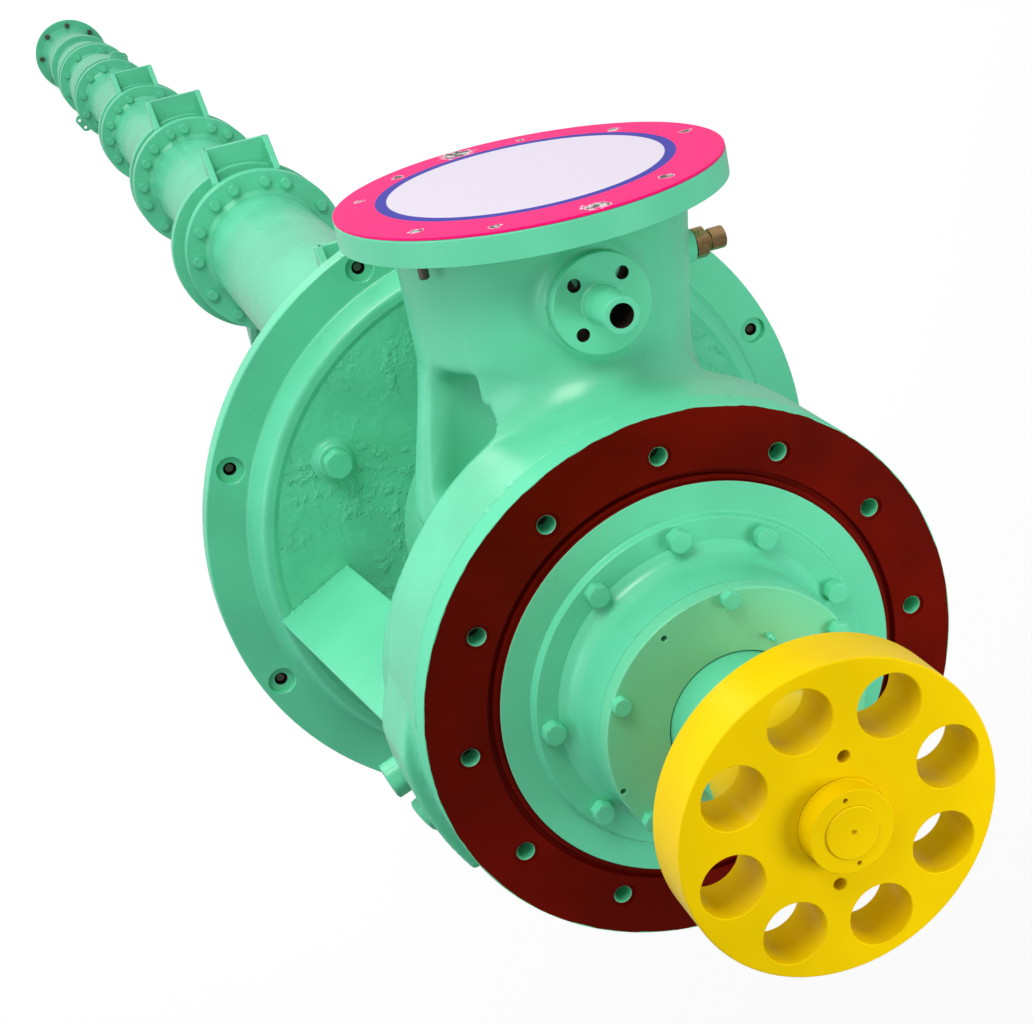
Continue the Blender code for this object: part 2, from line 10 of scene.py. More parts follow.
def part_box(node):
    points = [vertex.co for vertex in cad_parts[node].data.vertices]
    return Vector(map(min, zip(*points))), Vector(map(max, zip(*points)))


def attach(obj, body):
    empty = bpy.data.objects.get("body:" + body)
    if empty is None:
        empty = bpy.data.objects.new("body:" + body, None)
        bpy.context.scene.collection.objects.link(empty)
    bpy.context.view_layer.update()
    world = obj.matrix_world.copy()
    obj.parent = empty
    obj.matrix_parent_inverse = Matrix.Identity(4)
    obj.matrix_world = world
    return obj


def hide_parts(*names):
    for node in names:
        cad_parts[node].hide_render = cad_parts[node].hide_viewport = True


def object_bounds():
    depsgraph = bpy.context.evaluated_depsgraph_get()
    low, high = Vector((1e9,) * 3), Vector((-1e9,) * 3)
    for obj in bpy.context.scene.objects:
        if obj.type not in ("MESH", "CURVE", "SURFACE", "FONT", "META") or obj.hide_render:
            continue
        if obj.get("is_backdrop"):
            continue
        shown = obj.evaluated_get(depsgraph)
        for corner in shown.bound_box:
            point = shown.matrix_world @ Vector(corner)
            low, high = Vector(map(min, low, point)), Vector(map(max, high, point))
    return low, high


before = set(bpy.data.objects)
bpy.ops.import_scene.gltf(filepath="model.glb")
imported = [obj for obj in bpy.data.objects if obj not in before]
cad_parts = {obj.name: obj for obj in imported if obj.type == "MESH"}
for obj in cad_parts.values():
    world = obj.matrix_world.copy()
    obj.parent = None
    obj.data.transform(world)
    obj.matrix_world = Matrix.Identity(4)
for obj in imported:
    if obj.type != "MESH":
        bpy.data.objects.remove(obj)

bl_info = {
    "name": "Vertical Column Pump",
    "version": (1, 0, 0),
    "blender": (4, 5, 0),
    "location": "View3D > Sidebar > Pump",
    "description": "Builds a painted vertical column pump piece by piece round its fixed frame",
    "category": "Add Mesh",
}

# The photograph's frame in pixels, which only the camera uses
FRAME_WIDTH, FRAME_HEIGHT = 1033, 1024

# Joints of the column: top of the upper disc, disc radius, pipe radius above and below
JOINTS = (
    (-0.700, 0.258, 0.170, 0.165),
    (-2.303, 0.232, 0.165, 0.155),
    (-3.519, 0.222, 0.155, 0.142),
    (-4.708, 0.194, 0.142, 0.128),
    (-5.854, 0.178, 0.128, 0.128),
    (-6.569, 0.180, 0.128, 0.128),
)
# Bolts of each joint that the front shows, in degrees round the column; the rest are spread evenly
JOINT_BOLTS = (
    (0.0, 22.5, 45.0, 67.5),
    (-63.7, -28.3, -11.0, 15.5, 35.0, 60.0, 84.3, 114.0),
    (-44.0, -26.2, 1.8, 16.7, 38.9, 56.2, 80.3, 98.9),
    (-27.4, 17.3, 38.1, 62.7, 84.9, 111.4),
    (-34.8, 6.9, 37.0, 70.0, 102.3),
    (-22.4, 26.1, 64.8, 98.8),
)
BRACKET_JOINTS = 4
EAR_JOINT = 4
WIDE_PIPE = 2
DISC_T = 0.040
SPIGOT_T = 0.050
LOWER_DISC_T = 0.035
JOINT_T = DISC_T + SPIGOT_T + LOWER_DISC_T
PIPE_WALL = 0.010
WELD = 0.012
BRACKET_T = 0.018
BOWL_LOW_Z = -7.138
SUCTION_Z = -7.833
STUD_END_Z = -7.8645

PAD_Z = 0.083
BASE_TOP_Z = 0.038
RECESS = 0.003
# The gap that touching solids keep
GAP = 0.0003

BRANCH_Z = 0.481
BRANCH_END_X = 0.6317
NECK_CREASE_X = 0.440
TAP_X = 0.533
STOOL_TOP_Z = 0.800
STOOL_UNDER_Z = 0.648
# The cast stool stays this far inside the ring that caps it, so that no two walls lie in one place
STOOL_INSET = 0.0016
MOTOR_FACE_Z = 0.841
# Hexagon plugs on the stool's side: degrees round the shaft and height of the head
SIDE_PLUGS = ((107.5, 0.042), (118.5, 0.038))
SIDE_PLUG_Z = 0.592
LEG_HALF = (0.0745, 0.011, 0.2835)
LEG_INSIDE = (0.0725, 0.009, 0.2835)
# Corners of the space in which the cast head's surface is looked for
CAST_LOW, CAST_HIGH = (-0.42, -0.50, 0.075), (0.65, 0.50, 0.81)

HOUSING_TOP_Z = 0.858
COVER_TOP_Z = 0.978
COUPLING_TOP_Z = 1.278
PIN_DEGREES = 12.6

OUT_X = Matrix.Rotation(math.pi / 2, 4, "Y")
OUT_MINUS_Y = Matrix.Rotation(math.pi / 2, 4, "X")
UPSIDE_DOWN = Matrix.Rotation(math.pi, 4, "X")
STILL = Matrix.Identity(4)


def from_hex(text):
    """An sRGB colour such as 7ADDB5 as linear red, green and blue."""
    shares = [int(text[i:i + 2], 16) / 255 for i in (0, 2, 4)]
    return tuple(s / 12.92 if s <= 0.04045 else ((s + 0.055) / 1.055) ** 2.4 for s in shares)


def colour(name, text, description):
    """A colour setting for the panel."""
    return FloatVectorProperty(
        name=name, description=description, default=from_hex(text), subtype="COLOR", min=0.0, max=1.0
    )


def size(name, value, description):
    """A length setting for the panel, in metres."""
    return FloatProperty(
        name=name, description=description, default=value, min=0.0, precision=4, subtype="DISTANCE",
        unit="LENGTH",
    )


def power(name, value, description):
    """A light's power for the panel, in watts."""
    return FloatProperty(name=name, description=description, default=value, unit="POWER")


class PumpColours(bpy.types.PropertyGroup):
    """Paint and metal colours."""

    enamel: colour("Enamel", "60CDA3", "Sea green enamel of the castings and pipes")
    primer: colour("Primer", "600900", "Oxide red primer on the motor flange")
    yellow: colour("Coupling", "E4C200", "Yellow enamel of the coupling half")
    film: colour("Film", "F00A72", "Pink film on the discharge cover")
    disc: colour("Cover disc", "CDC6D6", "Pale round field in the middle of the film")
    line: colour("Cover ring", "31319B", "Navy ring round the pale field")
    brass: colour("Brass", "C4A070", "Brass of the side fitting")
    steel: colour("Steel", "6A645C", "Bare steel of the studs and the line shaft")
    floor: colour("Floor", "F4F4F4", "Pale studio floor")


class PumpSizes(bpy.types.PropertyGroup):
    """Sizes that shape the visible surface."""

    base_radius: size("Base flange", 0.560, "Radius of the base flange")
    stool_radius: size("Motor stool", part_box("motor_flange")[1].x + 0.002, "Radius of the motor stool")
    coupling_radius: size("Coupling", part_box("coupling_half")[1].x, "Radius of the coupling half")
    fillet: size("Casting fillet", 0.047, "Radius of the soft hollows between the cast forms")
    cast_step: size("Casting mesh", 0.0065, "Spacing of the cast surface's points")
    cover_bolt: size("Housing bolt", 0.030, "Width across flats of the bolts round the bearing housing")
    small_bolt: size("Cover bolt", 0.024, "Width across flats of the bolts on the bearing cover")
    column_bolt: size("Column bolt", 0.028, "Width across flats of the bolts of the column's joints")


class PumpStage(bpy.types.PropertyGroup):
    """Light and camera."""

    key_power: power("Key light", 170.0, "Power of the large key light")
    side_power: power("Side light", 34.0, "Power of the cool light from the side")
    front_power: power("Front light", 32.0, "Power of the light near the coupling")
    strip_power: power("Strip light", 60.0, "Power of the tall strip beside the column")
    sky: FloatProperty(name="Surroundings", description="Strength of the room's own light", default=0.76)


def colours():
    """The panel's colours."""
    return bpy.context.scene.pump_colours


def sizes():
    """The panel's sizes."""
    return bpy.context.scene.pump_sizes


# Places


def at(x=0.0, y=0.0, z=0.0):
    """A place moved to a point."""
    return Matrix.Translation((x, y, z))


def polar(degrees, radius=0.0, level=0.0):
    """A place at an angle and radius round Z, turned to face outwards."""
    return Matrix.Rotation(math.radians(degrees), 4, "Z") @ at(radius, 0.0, level)


def ring(count, radius, first=0.0):
    """Places spread evenly on a circle about Z, from an angle in degrees."""
    return [polar(first + 360 * i / count, radius) for i in range(count)]


# Meshes


def rounded(corners, steps):
    """A profile of (radius, height, fillet) corners as points, each corner rounded by its fillet."""
    points = []
    last = len(corners) - 1
    for i, corner in enumerate(corners):
        here = np.array(corner[:2])
        if len(corner) == 2 or i in (0, last):
            points.append(tuple(here))
            continue
        before = np.array(corners[i - 1][:2]) - here
        after = np.array(corners[i + 1][:2]) - here
        shorter = min(np.linalg.norm(before), np.linalg.norm(after))
        before /= np.linalg.norm(before)
        after /= np.linalg.norm(after)
        half = math.acos(float(np.clip(before @ after, -1, 1))) / 2
        reach = min(corner[2] / math.tan(half), 0.49 * shorter)
        start, end = here + before * reach, here + after * reach
        for t in np.linspace(0, 1, steps + 1):
            points.append(tuple(start * (1 - t) ** 2 + 2 * t * (1 - t) * here + end * t ** 2))
    return points


def lathe(corners, sides=96, place=STILL, steps=4):
    """A profile turned about Z as (points, faces), closed where it ends on the axis or on its start."""
    points = rounded(corners, steps)
    angles = np.arange(sides) * 2 * math.pi / sides
    verts, rings, faces = [], [], []
    for radius, level in points:
        count = sides if radius else 1
        rings.append(list(range(len(verts), len(verts) + count)) * (sides // count))
        verts += [(radius * math.cos(a), radius * math.sin(a), level) for a in angles[:count]]
    pairs = list(zip(rings, rings[1:]))
    if points[0][0] > 0 and points[-1][0] > 0:
        pairs.append((rings[-1], rings[0]))
    for upper, lower in pairs:
        for i in range(sides):
            j = (i + 1) % sides
            face = dict.fromkeys((upper[i], lower[i], lower[j], upper[j]))
            if len(face) > 2:
                faces.append(tuple(face))
    return moved((np.array(verts), faces), place)


def stacked(rings):
    """Rings of as many points each, bottom to top, as a solid with flat ends."""
    count, top = len(rings[0]), (len(rings) - 1) * len(rings[0])
    faces = [tuple(reversed(range(count))), tuple(range(top, top + count))]
    for start, i in product(range(0, top, count), range(count)):
        j = (i + 1) % count
        faces.append((start + i, start + j, start + count + j, start + count + i))
    return np.concatenate(rings), faces


def prism(outline, low, high):
    """An outline of (x, y) points as a solid between two heights."""
    return stacked([[(x, y, z) for x, y in outline] for z in (low, high)])


def moved(shape, place):
    """A shape with its points moved by a matrix."""
    verts, faces = shape
    matrix = np.array(place)
    return np.asarray(verts) @ matrix[:3, :3].T + matrix[:3, 3], faces


def joined(*shapes):
    """Several shapes as one."""
    verts, faces, start = [], [], 0
    for points, polygons in shapes:
        verts.append(points)
        faces += [tuple(i + start for i in polygon) for polygon in polygons]
        start += len(points)
    return np.concatenate(verts), faces


def copies(shape, places):
    """A shape repeated at every place."""
    return joined(*[moved(shape, place) for place in places])


def hex_head(across, height, round_top=0.9, washer=0.0):
    """A hexagon head or nut with its corners turned off on top, on a round washer where it has one."""
    sides = 24
    angles = (np.arange(sides) + 0.5) * 2 * math.pi / sides
    flats = across / 2 / np.cos(np.mod(angles, math.pi / 3) - math.pi / 6)
    inner = across / 2 * round_top
    rings = [(flats, np.zeros(sides))]
    if washer:
        rim, top = np.full(sides, washer), np.full(sides, 0.10 * height)
        rings = [(rim, np.zeros(sides)), (rim, top), (flats, top)]
    rings.append((flats, height - (flats - inner) * math.tan(math.radians(30))))
    rings.append((np.full(sides, inner), np.full(sides, height)))
    return stacked([np.stack([r * np.cos(angles), r * np.sin(angles), z], 1) for r, z in rings])


def hole(radius, low, high, lip=0.0, sides=40):
    """A hole's shape about Z from low up to a face at high, with a chamfered lip."""
    over = high + 0.02
    points = [(0.0, over), (radius + lip, over)]
    if lip:
        points += [(radius + lip, high), (radius, high - lip)]
    return lathe(points + [(radius, low), (0.0, low)], sides)


def new_object(name, shape):
    """A shape as an object in the scene."""
    mesh = bpy.data.meshes.new(name)
    mesh.from_pydata(np.asarray(shape[0]).tolist(), [], shape[1])
    made = bpy.data.objects.new(name, mesh)
    bpy.context.scene.collection.objects.link(made)
    return made


def build(name, shape, finish, replaced=(), body="pump_body", sharp=32, bevel=0.0):
    """Makes a piece from a shape, gives it its finish or finishes, and sets it on its body."""
    made = new_object(name, shape)
    made.data.validate()
    for maker in finish if isinstance(finish, tuple) else (finish,):
        made.data.materials.append(material(maker))
    if bevel:
        edge = made.modifiers.new("Edges", "BEVEL")
        edge.width = bevel
        edge.segments = 3
        edge.angle_limit = math.radians(30)
        bake(made)
    soften(made, sharp)
    if body:
        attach(made, body)
    if replaced:
        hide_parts(*replaced)
    return made


def soften(made, sharp=32):
    """Smooth shading with sharp edges kept and flat faces kept flat."""
    mesh = made.data
    mesh.shade_smooth()
    mesh.set_sharp_from_angle(angle=math.radians(sharp))
    weigh = made.modifiers.new("Weighted normals", "WEIGHTED_NORMAL")
    weigh.keep_sharp = True
    weigh.weight = 80


def bake(made):
    """Applies every modifier of a piece."""
    graph = bpy.context.evaluated_depsgraph_get()
    mesh = bpy.data.meshes.new_from_object(made.evaluated_get(graph))
    made.modifiers.clear()
    made.data = mesh


def drilled(made, holes, paint=0):
    """Cuts holes in a piece. The walls take the piece's material of that number."""
    made.modifiers.clear()
    cutter = new_object("holes", holes)
    cutter.data.polygons.foreach_set("material_index", [paint] * len(cutter.data.polygons))
    for each in made.data.materials:
        cutter.data.materials.append(each)
    cut = made.modifiers.new("Holes", "BOOLEAN")
    cut.operation = "DIFFERENCE"
    cut.solver = "EXACT"
    cut.object = cutter
    bake(made)
    bpy.data.objects.remove(cutter)
    soften(made)


def repaint(made, number, chosen):
    """Gives the piece's material of that number to each face that a test of it and its distance picks."""
    for polygon in made.data.polygons:
        if chosen(polygon, math.hypot(polygon.center.x, polygon.center.y)):
            polygon.material_index = number


# Soft cast forms


def fillet_of(first, second, radius):
    """The union of two distance fields with a round hollow of a real radius between them."""
    near = np.hypot(np.maximum(radius - first, 0), np.maximum(radius - second, 0))
    return np.maximum(radius, np.minimum(first, second)) - near


def column_field(across, along, radius, low, high, round_edge):
    """Distance to a round bar, given the distance from its axis and the place along it."""
    out = across - radius + round_edge
    past = np.abs(along - (low + high) / 2) - (high - low) / 2 + round_edge
    outside = np.hypot(np.maximum(out, 0), np.maximum(past, 0))
    return outside + np.minimum(np.maximum(out, past), 0) - round_edge


def slab_field(points, place, half_size, round_edge):
    """Distance to a box with rounded edges at a place."""
    inverse = np.linalg.inv(np.array(place))
    local = points @ inverse[:3, :3].T + inverse[:3, 3]
    past = np.abs(local) - (np.array(half_size) - round_edge)
    outside = np.sqrt((np.maximum(past, 0) ** 2).sum(-1))
    return outside + np.minimum(past.max(-1), 0) - round_edge


def net_surface(field, low, high, step):
    """The surface where a distance field is zero, as a net of quads pulled onto the field."""
    counts = np.ceil((np.array(high) - low) / step).astype(int) + 1
    axes = [low[i] + step * np.arange(counts[i]) for i in range(3)]
    values = field(np.stack(np.meshgrid(*axes, indexing="ij"), -1))
    points, number = net_points(values, low, step, counts)
    faces = net_faces(values < 0, number, counts)
    small = step * 0.2
    for _ in range(3):
        here = field(points)
        slope = np.stack([
            field(points + small * np.eye(3)[i]) - field(points - small * np.eye(3)[i]) for i in range(3)
        ], -1) / (2 * small)
        steep = np.maximum((slope ** 2).sum(-1, keepdims=True), 0.2)
        points = points - np.clip(here[:, None] / steep, -step, step) * slope
    return points, faces


def net_points(values, low, step, counts):
    """One point in each cell that the surface crosses, and the number of the point in each cell."""
    inside = values < 0
    cells = [n - 1 for n in counts]
    window = {c: tuple(slice(c[i], c[i] + cells[i]) for i in range(3)) for c in product((0, 1), repeat=3)}
    filled = sum(inside[w].astype(np.int8) for w in window.values())
    active = (filled > 0) & (filled < 8)
    number = np.full(active.shape, -1)
    number[active] = np.arange(active.sum())
    total = np.zeros((*active.shape, 3))
    hits = np.zeros(active.shape)
    for axis, corner in product(range(3), window):
        if corner[axis]:
            continue
        other = tuple(1 if i == axis else corner[i] for i in range(3))
        a, b = values[window[corner]], values[window[other]]
        cross = (a < 0) != (b < 0)
        share = np.where(cross, a / np.where(cross, a - b, 1.0), 0.0)
        for i in range(3):
            total[..., i] += np.where(cross, share if i == axis else corner[i], 0.0)
        hits += cross
    points = np.array(low) + step * (np.argwhere(active) + total[active] / hits[active][:, None])
    return points, number


def net_faces(inside, number, counts):
    """A quad across every edge of the grid that the surface crosses, facing out."""
    faces = []
    for axis in range(3):
        u, v = (axis + 1) % 3, (axis + 2) % 3
        first = [slice(1, n - 1) for n in counts]
        first[axis] = slice(0, counts[axis] - 1)
        second = list(first)
        second[axis] = slice(1, counts[axis])
        a, b = inside[tuple(first)], inside[tuple(second)]
        for forward in (True, False):
            spots = np.argwhere(a & ~b if forward else ~a & b)
            spots[:, u] += 1
            spots[:, v] += 1
            quad = []
            for du, dv in ((0, 0), (1, 0), (1, 1), (0, 1)):
                cell = spots.copy()
                cell[:, u] -= 1 - du
                cell[:, v] -= 1 - dv
                quad.append(number[tuple(cell.T)])
            if not forward:
                quad.reverse()
            faces += np.stack(quad, 1).tolist()
    return faces


# Materials

SMOOTH = {"interpolation_type": "SMOOTHSTEP"}
MADE = {}


def material(maker):
    """A material that several pieces share, made once."""
    if maker not in MADE:
        MADE[maker] = maker()
    return MADE[maker]


def add(tree, kind, inputs, **settings):
    """Adds a node with its settings, and sets its inputs or links them to a socket or a node's result."""
    made = tree.nodes.new("ShaderNode" + kind)
    for key, value in settings.items():
        setattr(made, key, value)
    for key, value in inputs.items():
        if isinstance(value, bpy.types.Node):
            value = next(socket for socket in value.outputs if socket.enabled)
        if isinstance(value, bpy.types.NodeSocket):
            tree.links.new(value, made.inputs[key])
        elif value is not None:
            made.inputs[key].default_value = value
    return made


def new_material(name):
    """An empty node material, the tree to build it in, and the place on the piece in metres."""
    made = bpy.data.materials.new(name)
    made.use_nodes = True
    tree = made.node_tree
    tree.nodes.clear()
    return made, tree, add(tree, "TexCoord", {}).outputs["Object"]


def surface(made, tree, paint, relief, inputs):
    """Adds the shader over layers of relief, each a height of 0 to 1 and its depth in millimetres."""
    normal = None
    for height, depth_mm in relief:
        layer = {"Strength": 1.0, "Height": height, "Distance": depth_mm / 1000, "Normal": normal}
        normal = add(tree, "Bump", layer)
    shader = add(tree, "BsdfPrincipled", {"Base Color": paint, "Normal": normal, **inputs})
    add(tree, "OutputMaterial", {"Surface": shader})
    return made


def lumps(place, size_mm, detail=2.0, roughness=0.5):
    """Inputs of noise whose lumps are about so many millimetres across."""
    return {"Vector": place, "Scale": 600 / size_mm, "Detail": detail, "Roughness": roughness}


def swing(noise, first, second):
    """Inputs that bring a noise's middle part from one value to another."""
    return {0: noise, 1: 0.3, 2: 0.7, 3: first, 4: second}


def shaded(rgb, factor=1.0):
    """A colour made darker or lighter, with its alpha."""
    return (*[min(1.0, c * factor) for c in rgb], 1.0)


def layered(tree, paint, *layers):
    """A paint under others, each of which covers it as a value runs from low to high."""
    for value, low, high, over in layers:
        share = add(tree, "MapRange", {0: value, 1: low, 2: high}, **SMOOTH)
        paint = add(tree, "Mix", {0: share, 6: paint, 7: over}, data_type="RGBA")
    return paint


def reach_from(tree, place, middle, squash):
    """The distance of a place from a point, with some axes stretched or left out."""
    offset = add(tree, "VectorMath", {0: place, 1: middle}, operation="SUBTRACT")
    scaled = add(tree, "VectorMath", {0: offset, 1: squash}, operation="MULTIPLY")
    return add(tree, "VectorMath", {0: scaled}, operation="LENGTH")


def enamel(name, rgb, grain_mm, grain_depth_mm, wave_mm, wave_depth_mm, gloss=0.28, sheen=0.5, overspray_and_bounce=None):
    """Gloss alkyd enamel sprayed on metal: a clear colour and a soft skin over what lies under it."""
    made, tree, place = new_material(name)
    grain = add(tree, "TexNoise", lumps(place, grain_mm, 3.0, 0.55))
    wave = add(tree, "TexNoise", lumps(place, wave_mm))
    skin = add(tree, "TexNoise", lumps(place, 6.0, 1.0))
    paint = layered(tree, shaded(rgb, 0.93), (wave, 0.3, 0.7, shaded(rgb, 1.05)))
    # The mask mixes in the coupling's yellow: real overspray on the sleeve, painted yellow bounce light on
    # the cover.
    if overspray_and_bounce:
        share = overspray_and_bounce(tree, place, grain)
        paint = add(tree, "Mix", {0: share, 6: paint, 7: shaded(colours().yellow)}, data_type="RGBA")
    return surface(made, tree, paint, ((wave, wave_depth_mm), (grain, grain_depth_mm), (skin, 0.008)), {
        "Roughness": add(tree, "MapRange", swing(wave, gloss - 0.03, gloss + 0.05), **SMOOTH),
        "IOR": 1.50, "Specular IOR Level": sheen,
    })


def casting_enamel():
    """Enamel over sand-cast iron: the mould's grain and slight hollows show through the paint."""
    return enamel("enamel on cast iron", colours().enamel, 12.0, 0.12, 90.0, 1.8, 0.30)


def rough_enamel():
    """Enamel over a rough cast face: scattered lumps and scars of the open mould under thick gloss paint."""
    made, tree, place = new_material("enamel on rough casting")
    wave = add(tree, "TexNoise", lumps(place, 60.0))
    spread = add(tree, "TexNoise", lumps(place, 90.0))
    grit = add(tree, "TexNoise", lumps(place, 13.0, 3.0, 0.6))
    patch = add(tree, "MapRange", {0: spread, 1: 0.42, 2: 0.60, 3: 0.18}, **SMOOTH)
    lump = add(tree, "MapRange", {0: grit, 1: 0.45, 2: 0.75}, **SMOOTH)
    raised = add(tree, "Math", {0: lump, 1: patch}, operation="MULTIPLY")
    paint = layered(tree, shaded(colours().enamel, 0.92), (wave, 0.3, 0.7, shaded(colours().enamel, 1.04)))
    return surface(made, tree, paint, ((wave, 4.5), (raised, 2.6)), {
        "Roughness": add(tree, "MapRange", swing(wave, 0.22, 0.30), **SMOOTH), "IOR": 1.50,
    })


# Grain and wave of turned steel under paint: size and depth of each in millimetres
TURNED = (14.0, 0.012, 120.0, 0.20)


def machined_enamel():
    """Enamel over turned steel: nearly flat, with only the spray's own skin."""
    return enamel("enamel on turned steel", colours().enamel, *TURNED)


def yellow_enamel():
    """Yellow gloss enamel over turned steel: clean and even, with a slight sprayed skin."""
    return enamel("yellow enamel on turned steel", colours().yellow, 6.0, 0.02, 100.0, 0.20, 0.26, 0.07)


def above_sleeve_line(tree, place, grain):
    """The yellow overspray above the sleeve's uneven paint line."""
    height = add(tree, "SeparateXYZ", {0: place}).outputs["Z"]
    wander = add(tree, "MapRange", {0: grain, 1: 0.0, 2: 1.0, 3: -0.004, 4: 0.004}, **SMOOTH)
    line = add(tree, "Math", {0: height, 1: wander}, operation="ADD")
    return add(tree, "MapRange", {0: line, 1: 1.098, 2: 1.101}, **SMOOTH)


def sleeve_enamel():
    """Green enamel on the turned sleeve, with the coupling's yellow sprayed over its upper end."""
    return enamel("enamel on turned sleeve", colours().enamel, *TURNED, 0.22, overspray_and_bounce=above_sleeve_line)


def coupling_bounce_light(tree, place, grain):
    """Painted yellow bounce light from the coupling on the parts behind it, strongest near the shaft."""
    reach = reach_from(tree, place, (0.0, 0.0, COVER_TOP_Z), (1.0, 1.0, 3.0))
    return add(tree, "MapRange", {0: reach, 1: 0.10, 2: 0.24, 3: 0.16, 4: 0.0}, **SMOOTH)


def cover_enamel():
    """Green enamel on the turned cover with the coupling's yellow bounce light painted into it near the
    shaft.
    """
    return enamel("enamel on turned cover", colours().enamel, *TURNED, overspray_and_bounce=coupling_bounce_light)


def primer():
    """Oxide primer on a machined face: deep red, cloudy, half gloss, green where the edge was painted."""
    made, tree, place = new_material("oxide primer on machined face")
    cloud = add(tree, "TexNoise", lumps(place, 120.0, 3.0))
    stroke = add(tree, "TexNoise", lumps(place, 6.0))
    ragged = add(tree, "TexNoise", lumps(place, 20.0, 3.0))
    wander = add(tree, "MapRange", swing(ragged, -0.0008, 0.0008), **SMOOTH)
    reach = reach_from(tree, place, (0.0, 0.0, 0.0), (1.0, 1.0, 0.0))
    line = add(tree, "Math", {0: reach, 1: wander}, operation="ADD")
    edge = sizes().stool_radius - STOOL_INSET
    paint = layered(
        tree, shaded(colours().primer, 0.70), (cloud, 0.32, 0.68, shaded(colours().primer, 1.15)),
        (line, edge, edge + 0.0003, shaded(colours().enamel)),
    )
    return surface(made, tree, paint, ((stroke, 0.05),), {
        "Roughness": add(tree, "MapRange", swing(cloud, 0.34, 0.44), **SMOOTH),
        "IOR": 1.50, "Specular IOR Level": 0.08,
    })


def bore_rust_and_shade():
    """Drilled iron left bare inside the holes with rust flecks, painted near black as the shade in the
    holes.
    """
    made, tree, place = new_material("bare drilled iron with painted hole shade")
    spot = add(tree, "TexNoise", lumps(place, 5.0, 3.0))
    # Near-black base with brown rust flecks: the near black is painted shade inside the holes.
    paint = layered(tree, shaded(from_hex("0E0A08")), (spot, 0.35, 0.65, shaded(from_hex("35241B"))))
    return surface(made, tree, paint, ((spot, 0.2),), {"Roughness": 0.55, "IOR": 1.50})


# Torn spots of the film over the bolts: degrees round the cover, distance from its centre, half length
TEARS = (
    (34.4, 0.250, 0.010), (124.6, 0.256, 0.009), (151.6, 0.262, 0.008), (-16.3, 0.253, 0.007),
    (6.8, 0.260, 0.024), (-52.3, 0.245, 0.010), (-86.0, 0.260, 0.010), (-147.8, 0.249, 0.010),
    (-178.1, 0.264, 0.018), (64.0, 0.255, 0.008),
)


def cover_film():
    """Printed vinyl film on a cover: pink, a plain pale field in a navy ring, torn over the bolts."""
    made, tree, place = new_material("printed vinyl film")
    reach = reach_from(tree, place, (0.0, 0.0, BRANCH_Z - 0.012), (0.0, 1.0, 1.0))
    print_paint = layered(
        tree, shaded(colours().disc), (reach, 0.2045, 0.2055, shaded(colours().line)),
        (reach, 0.2215, 0.2225, shaded(colours().film)),
    )
    nearest = None
    for degrees, reach_m, size_m in TEARS:
        turn = math.radians(degrees)
        middle = (0.0, reach_m * math.sin(turn), BRANCH_Z - reach_m * math.cos(turn))
        spot = reach_from(tree, place, middle, (0.0, 0.010 / size_m, 0.011 / size_m))
        nearest = add(tree, "Math", {0: nearest, 1: spot}, operation="MINIMUM") if nearest else spot
    ragged = add(tree, "TexNoise", lumps(place, 6.0, 3.0))
    wander = add(tree, "MapRange", swing(ragged, -0.004, 0.004), **SMOOTH)
    tear = add(tree, "Math", {0: nearest, 1: wander}, operation="ADD")
    bare = layered(tree, shaded(from_hex("5B4A4E")), (ragged, 0.45, 0.55, shaded(from_hex("A9B5AE"))))
    lifted = add(tree, "MapRange", {0: tear, 1: 0.0100, 2: 0.0106, 3: 1.0, 4: 0.0}, **SMOOTH)
    paint = layered(
        tree, bare, (tear, 0.0080, 0.0088, shaded(from_hex("E4C9D4"))), (tear, 0.0100, 0.0106, print_paint),
    )
    crease = add(tree, "TexNoise", lumps(place, 50.0))
    return surface(made, tree, paint, ((crease, 0.4), (lifted, 0.4)), {
        "Roughness": 0.42, "IOR": 1.46, "Specular IOR Level": 0.15,
    })


def metal(name, rgb, roughness, streak_mm):
    """Turned or drawn bare metal with fine tool marks."""
    made, tree, place = new_material(name)
    mark = add(tree, "TexNoise", lumps(place, streak_mm))
    paint = layered(tree, shaded(rgb, 0.8), (mark, 0.3, 0.7, shaded(rgb, 1.1)))
    dull = add(tree, "MapRange", swing(mark, roughness - 0.06, roughness + 0.08), **SMOOTH)
    return surface(made, tree, paint, ((mark, 0.06),), {"Metallic": 1.0, "Roughness": dull})


def brass():
    """Machined brass bar, slightly dulled by handling."""
    return metal("machined brass", colours().brass, 0.28, 2.0)


def stud_steel():
    """Bare drawn steel with a thin brown film of oil and rust."""
    return metal("oiled steel stud", colours().steel, 0.42, 1.5)


def floor_paint():
    """Matt studio paper, even and pale, lit from under so that it shows white."""
    made, tree, place = new_material("lit studio paper")
    fibre = add(tree, "TexNoise", lumps(place, 20.0))
    return surface(made, tree, shaded(colours().floor), ((fibre, 0.1),), {
        "Roughness": 0.9, "Emission Color": (1.0, 1.0, 1.0, 1.0), "Emission Strength": 0.54,
    })


# Pieces


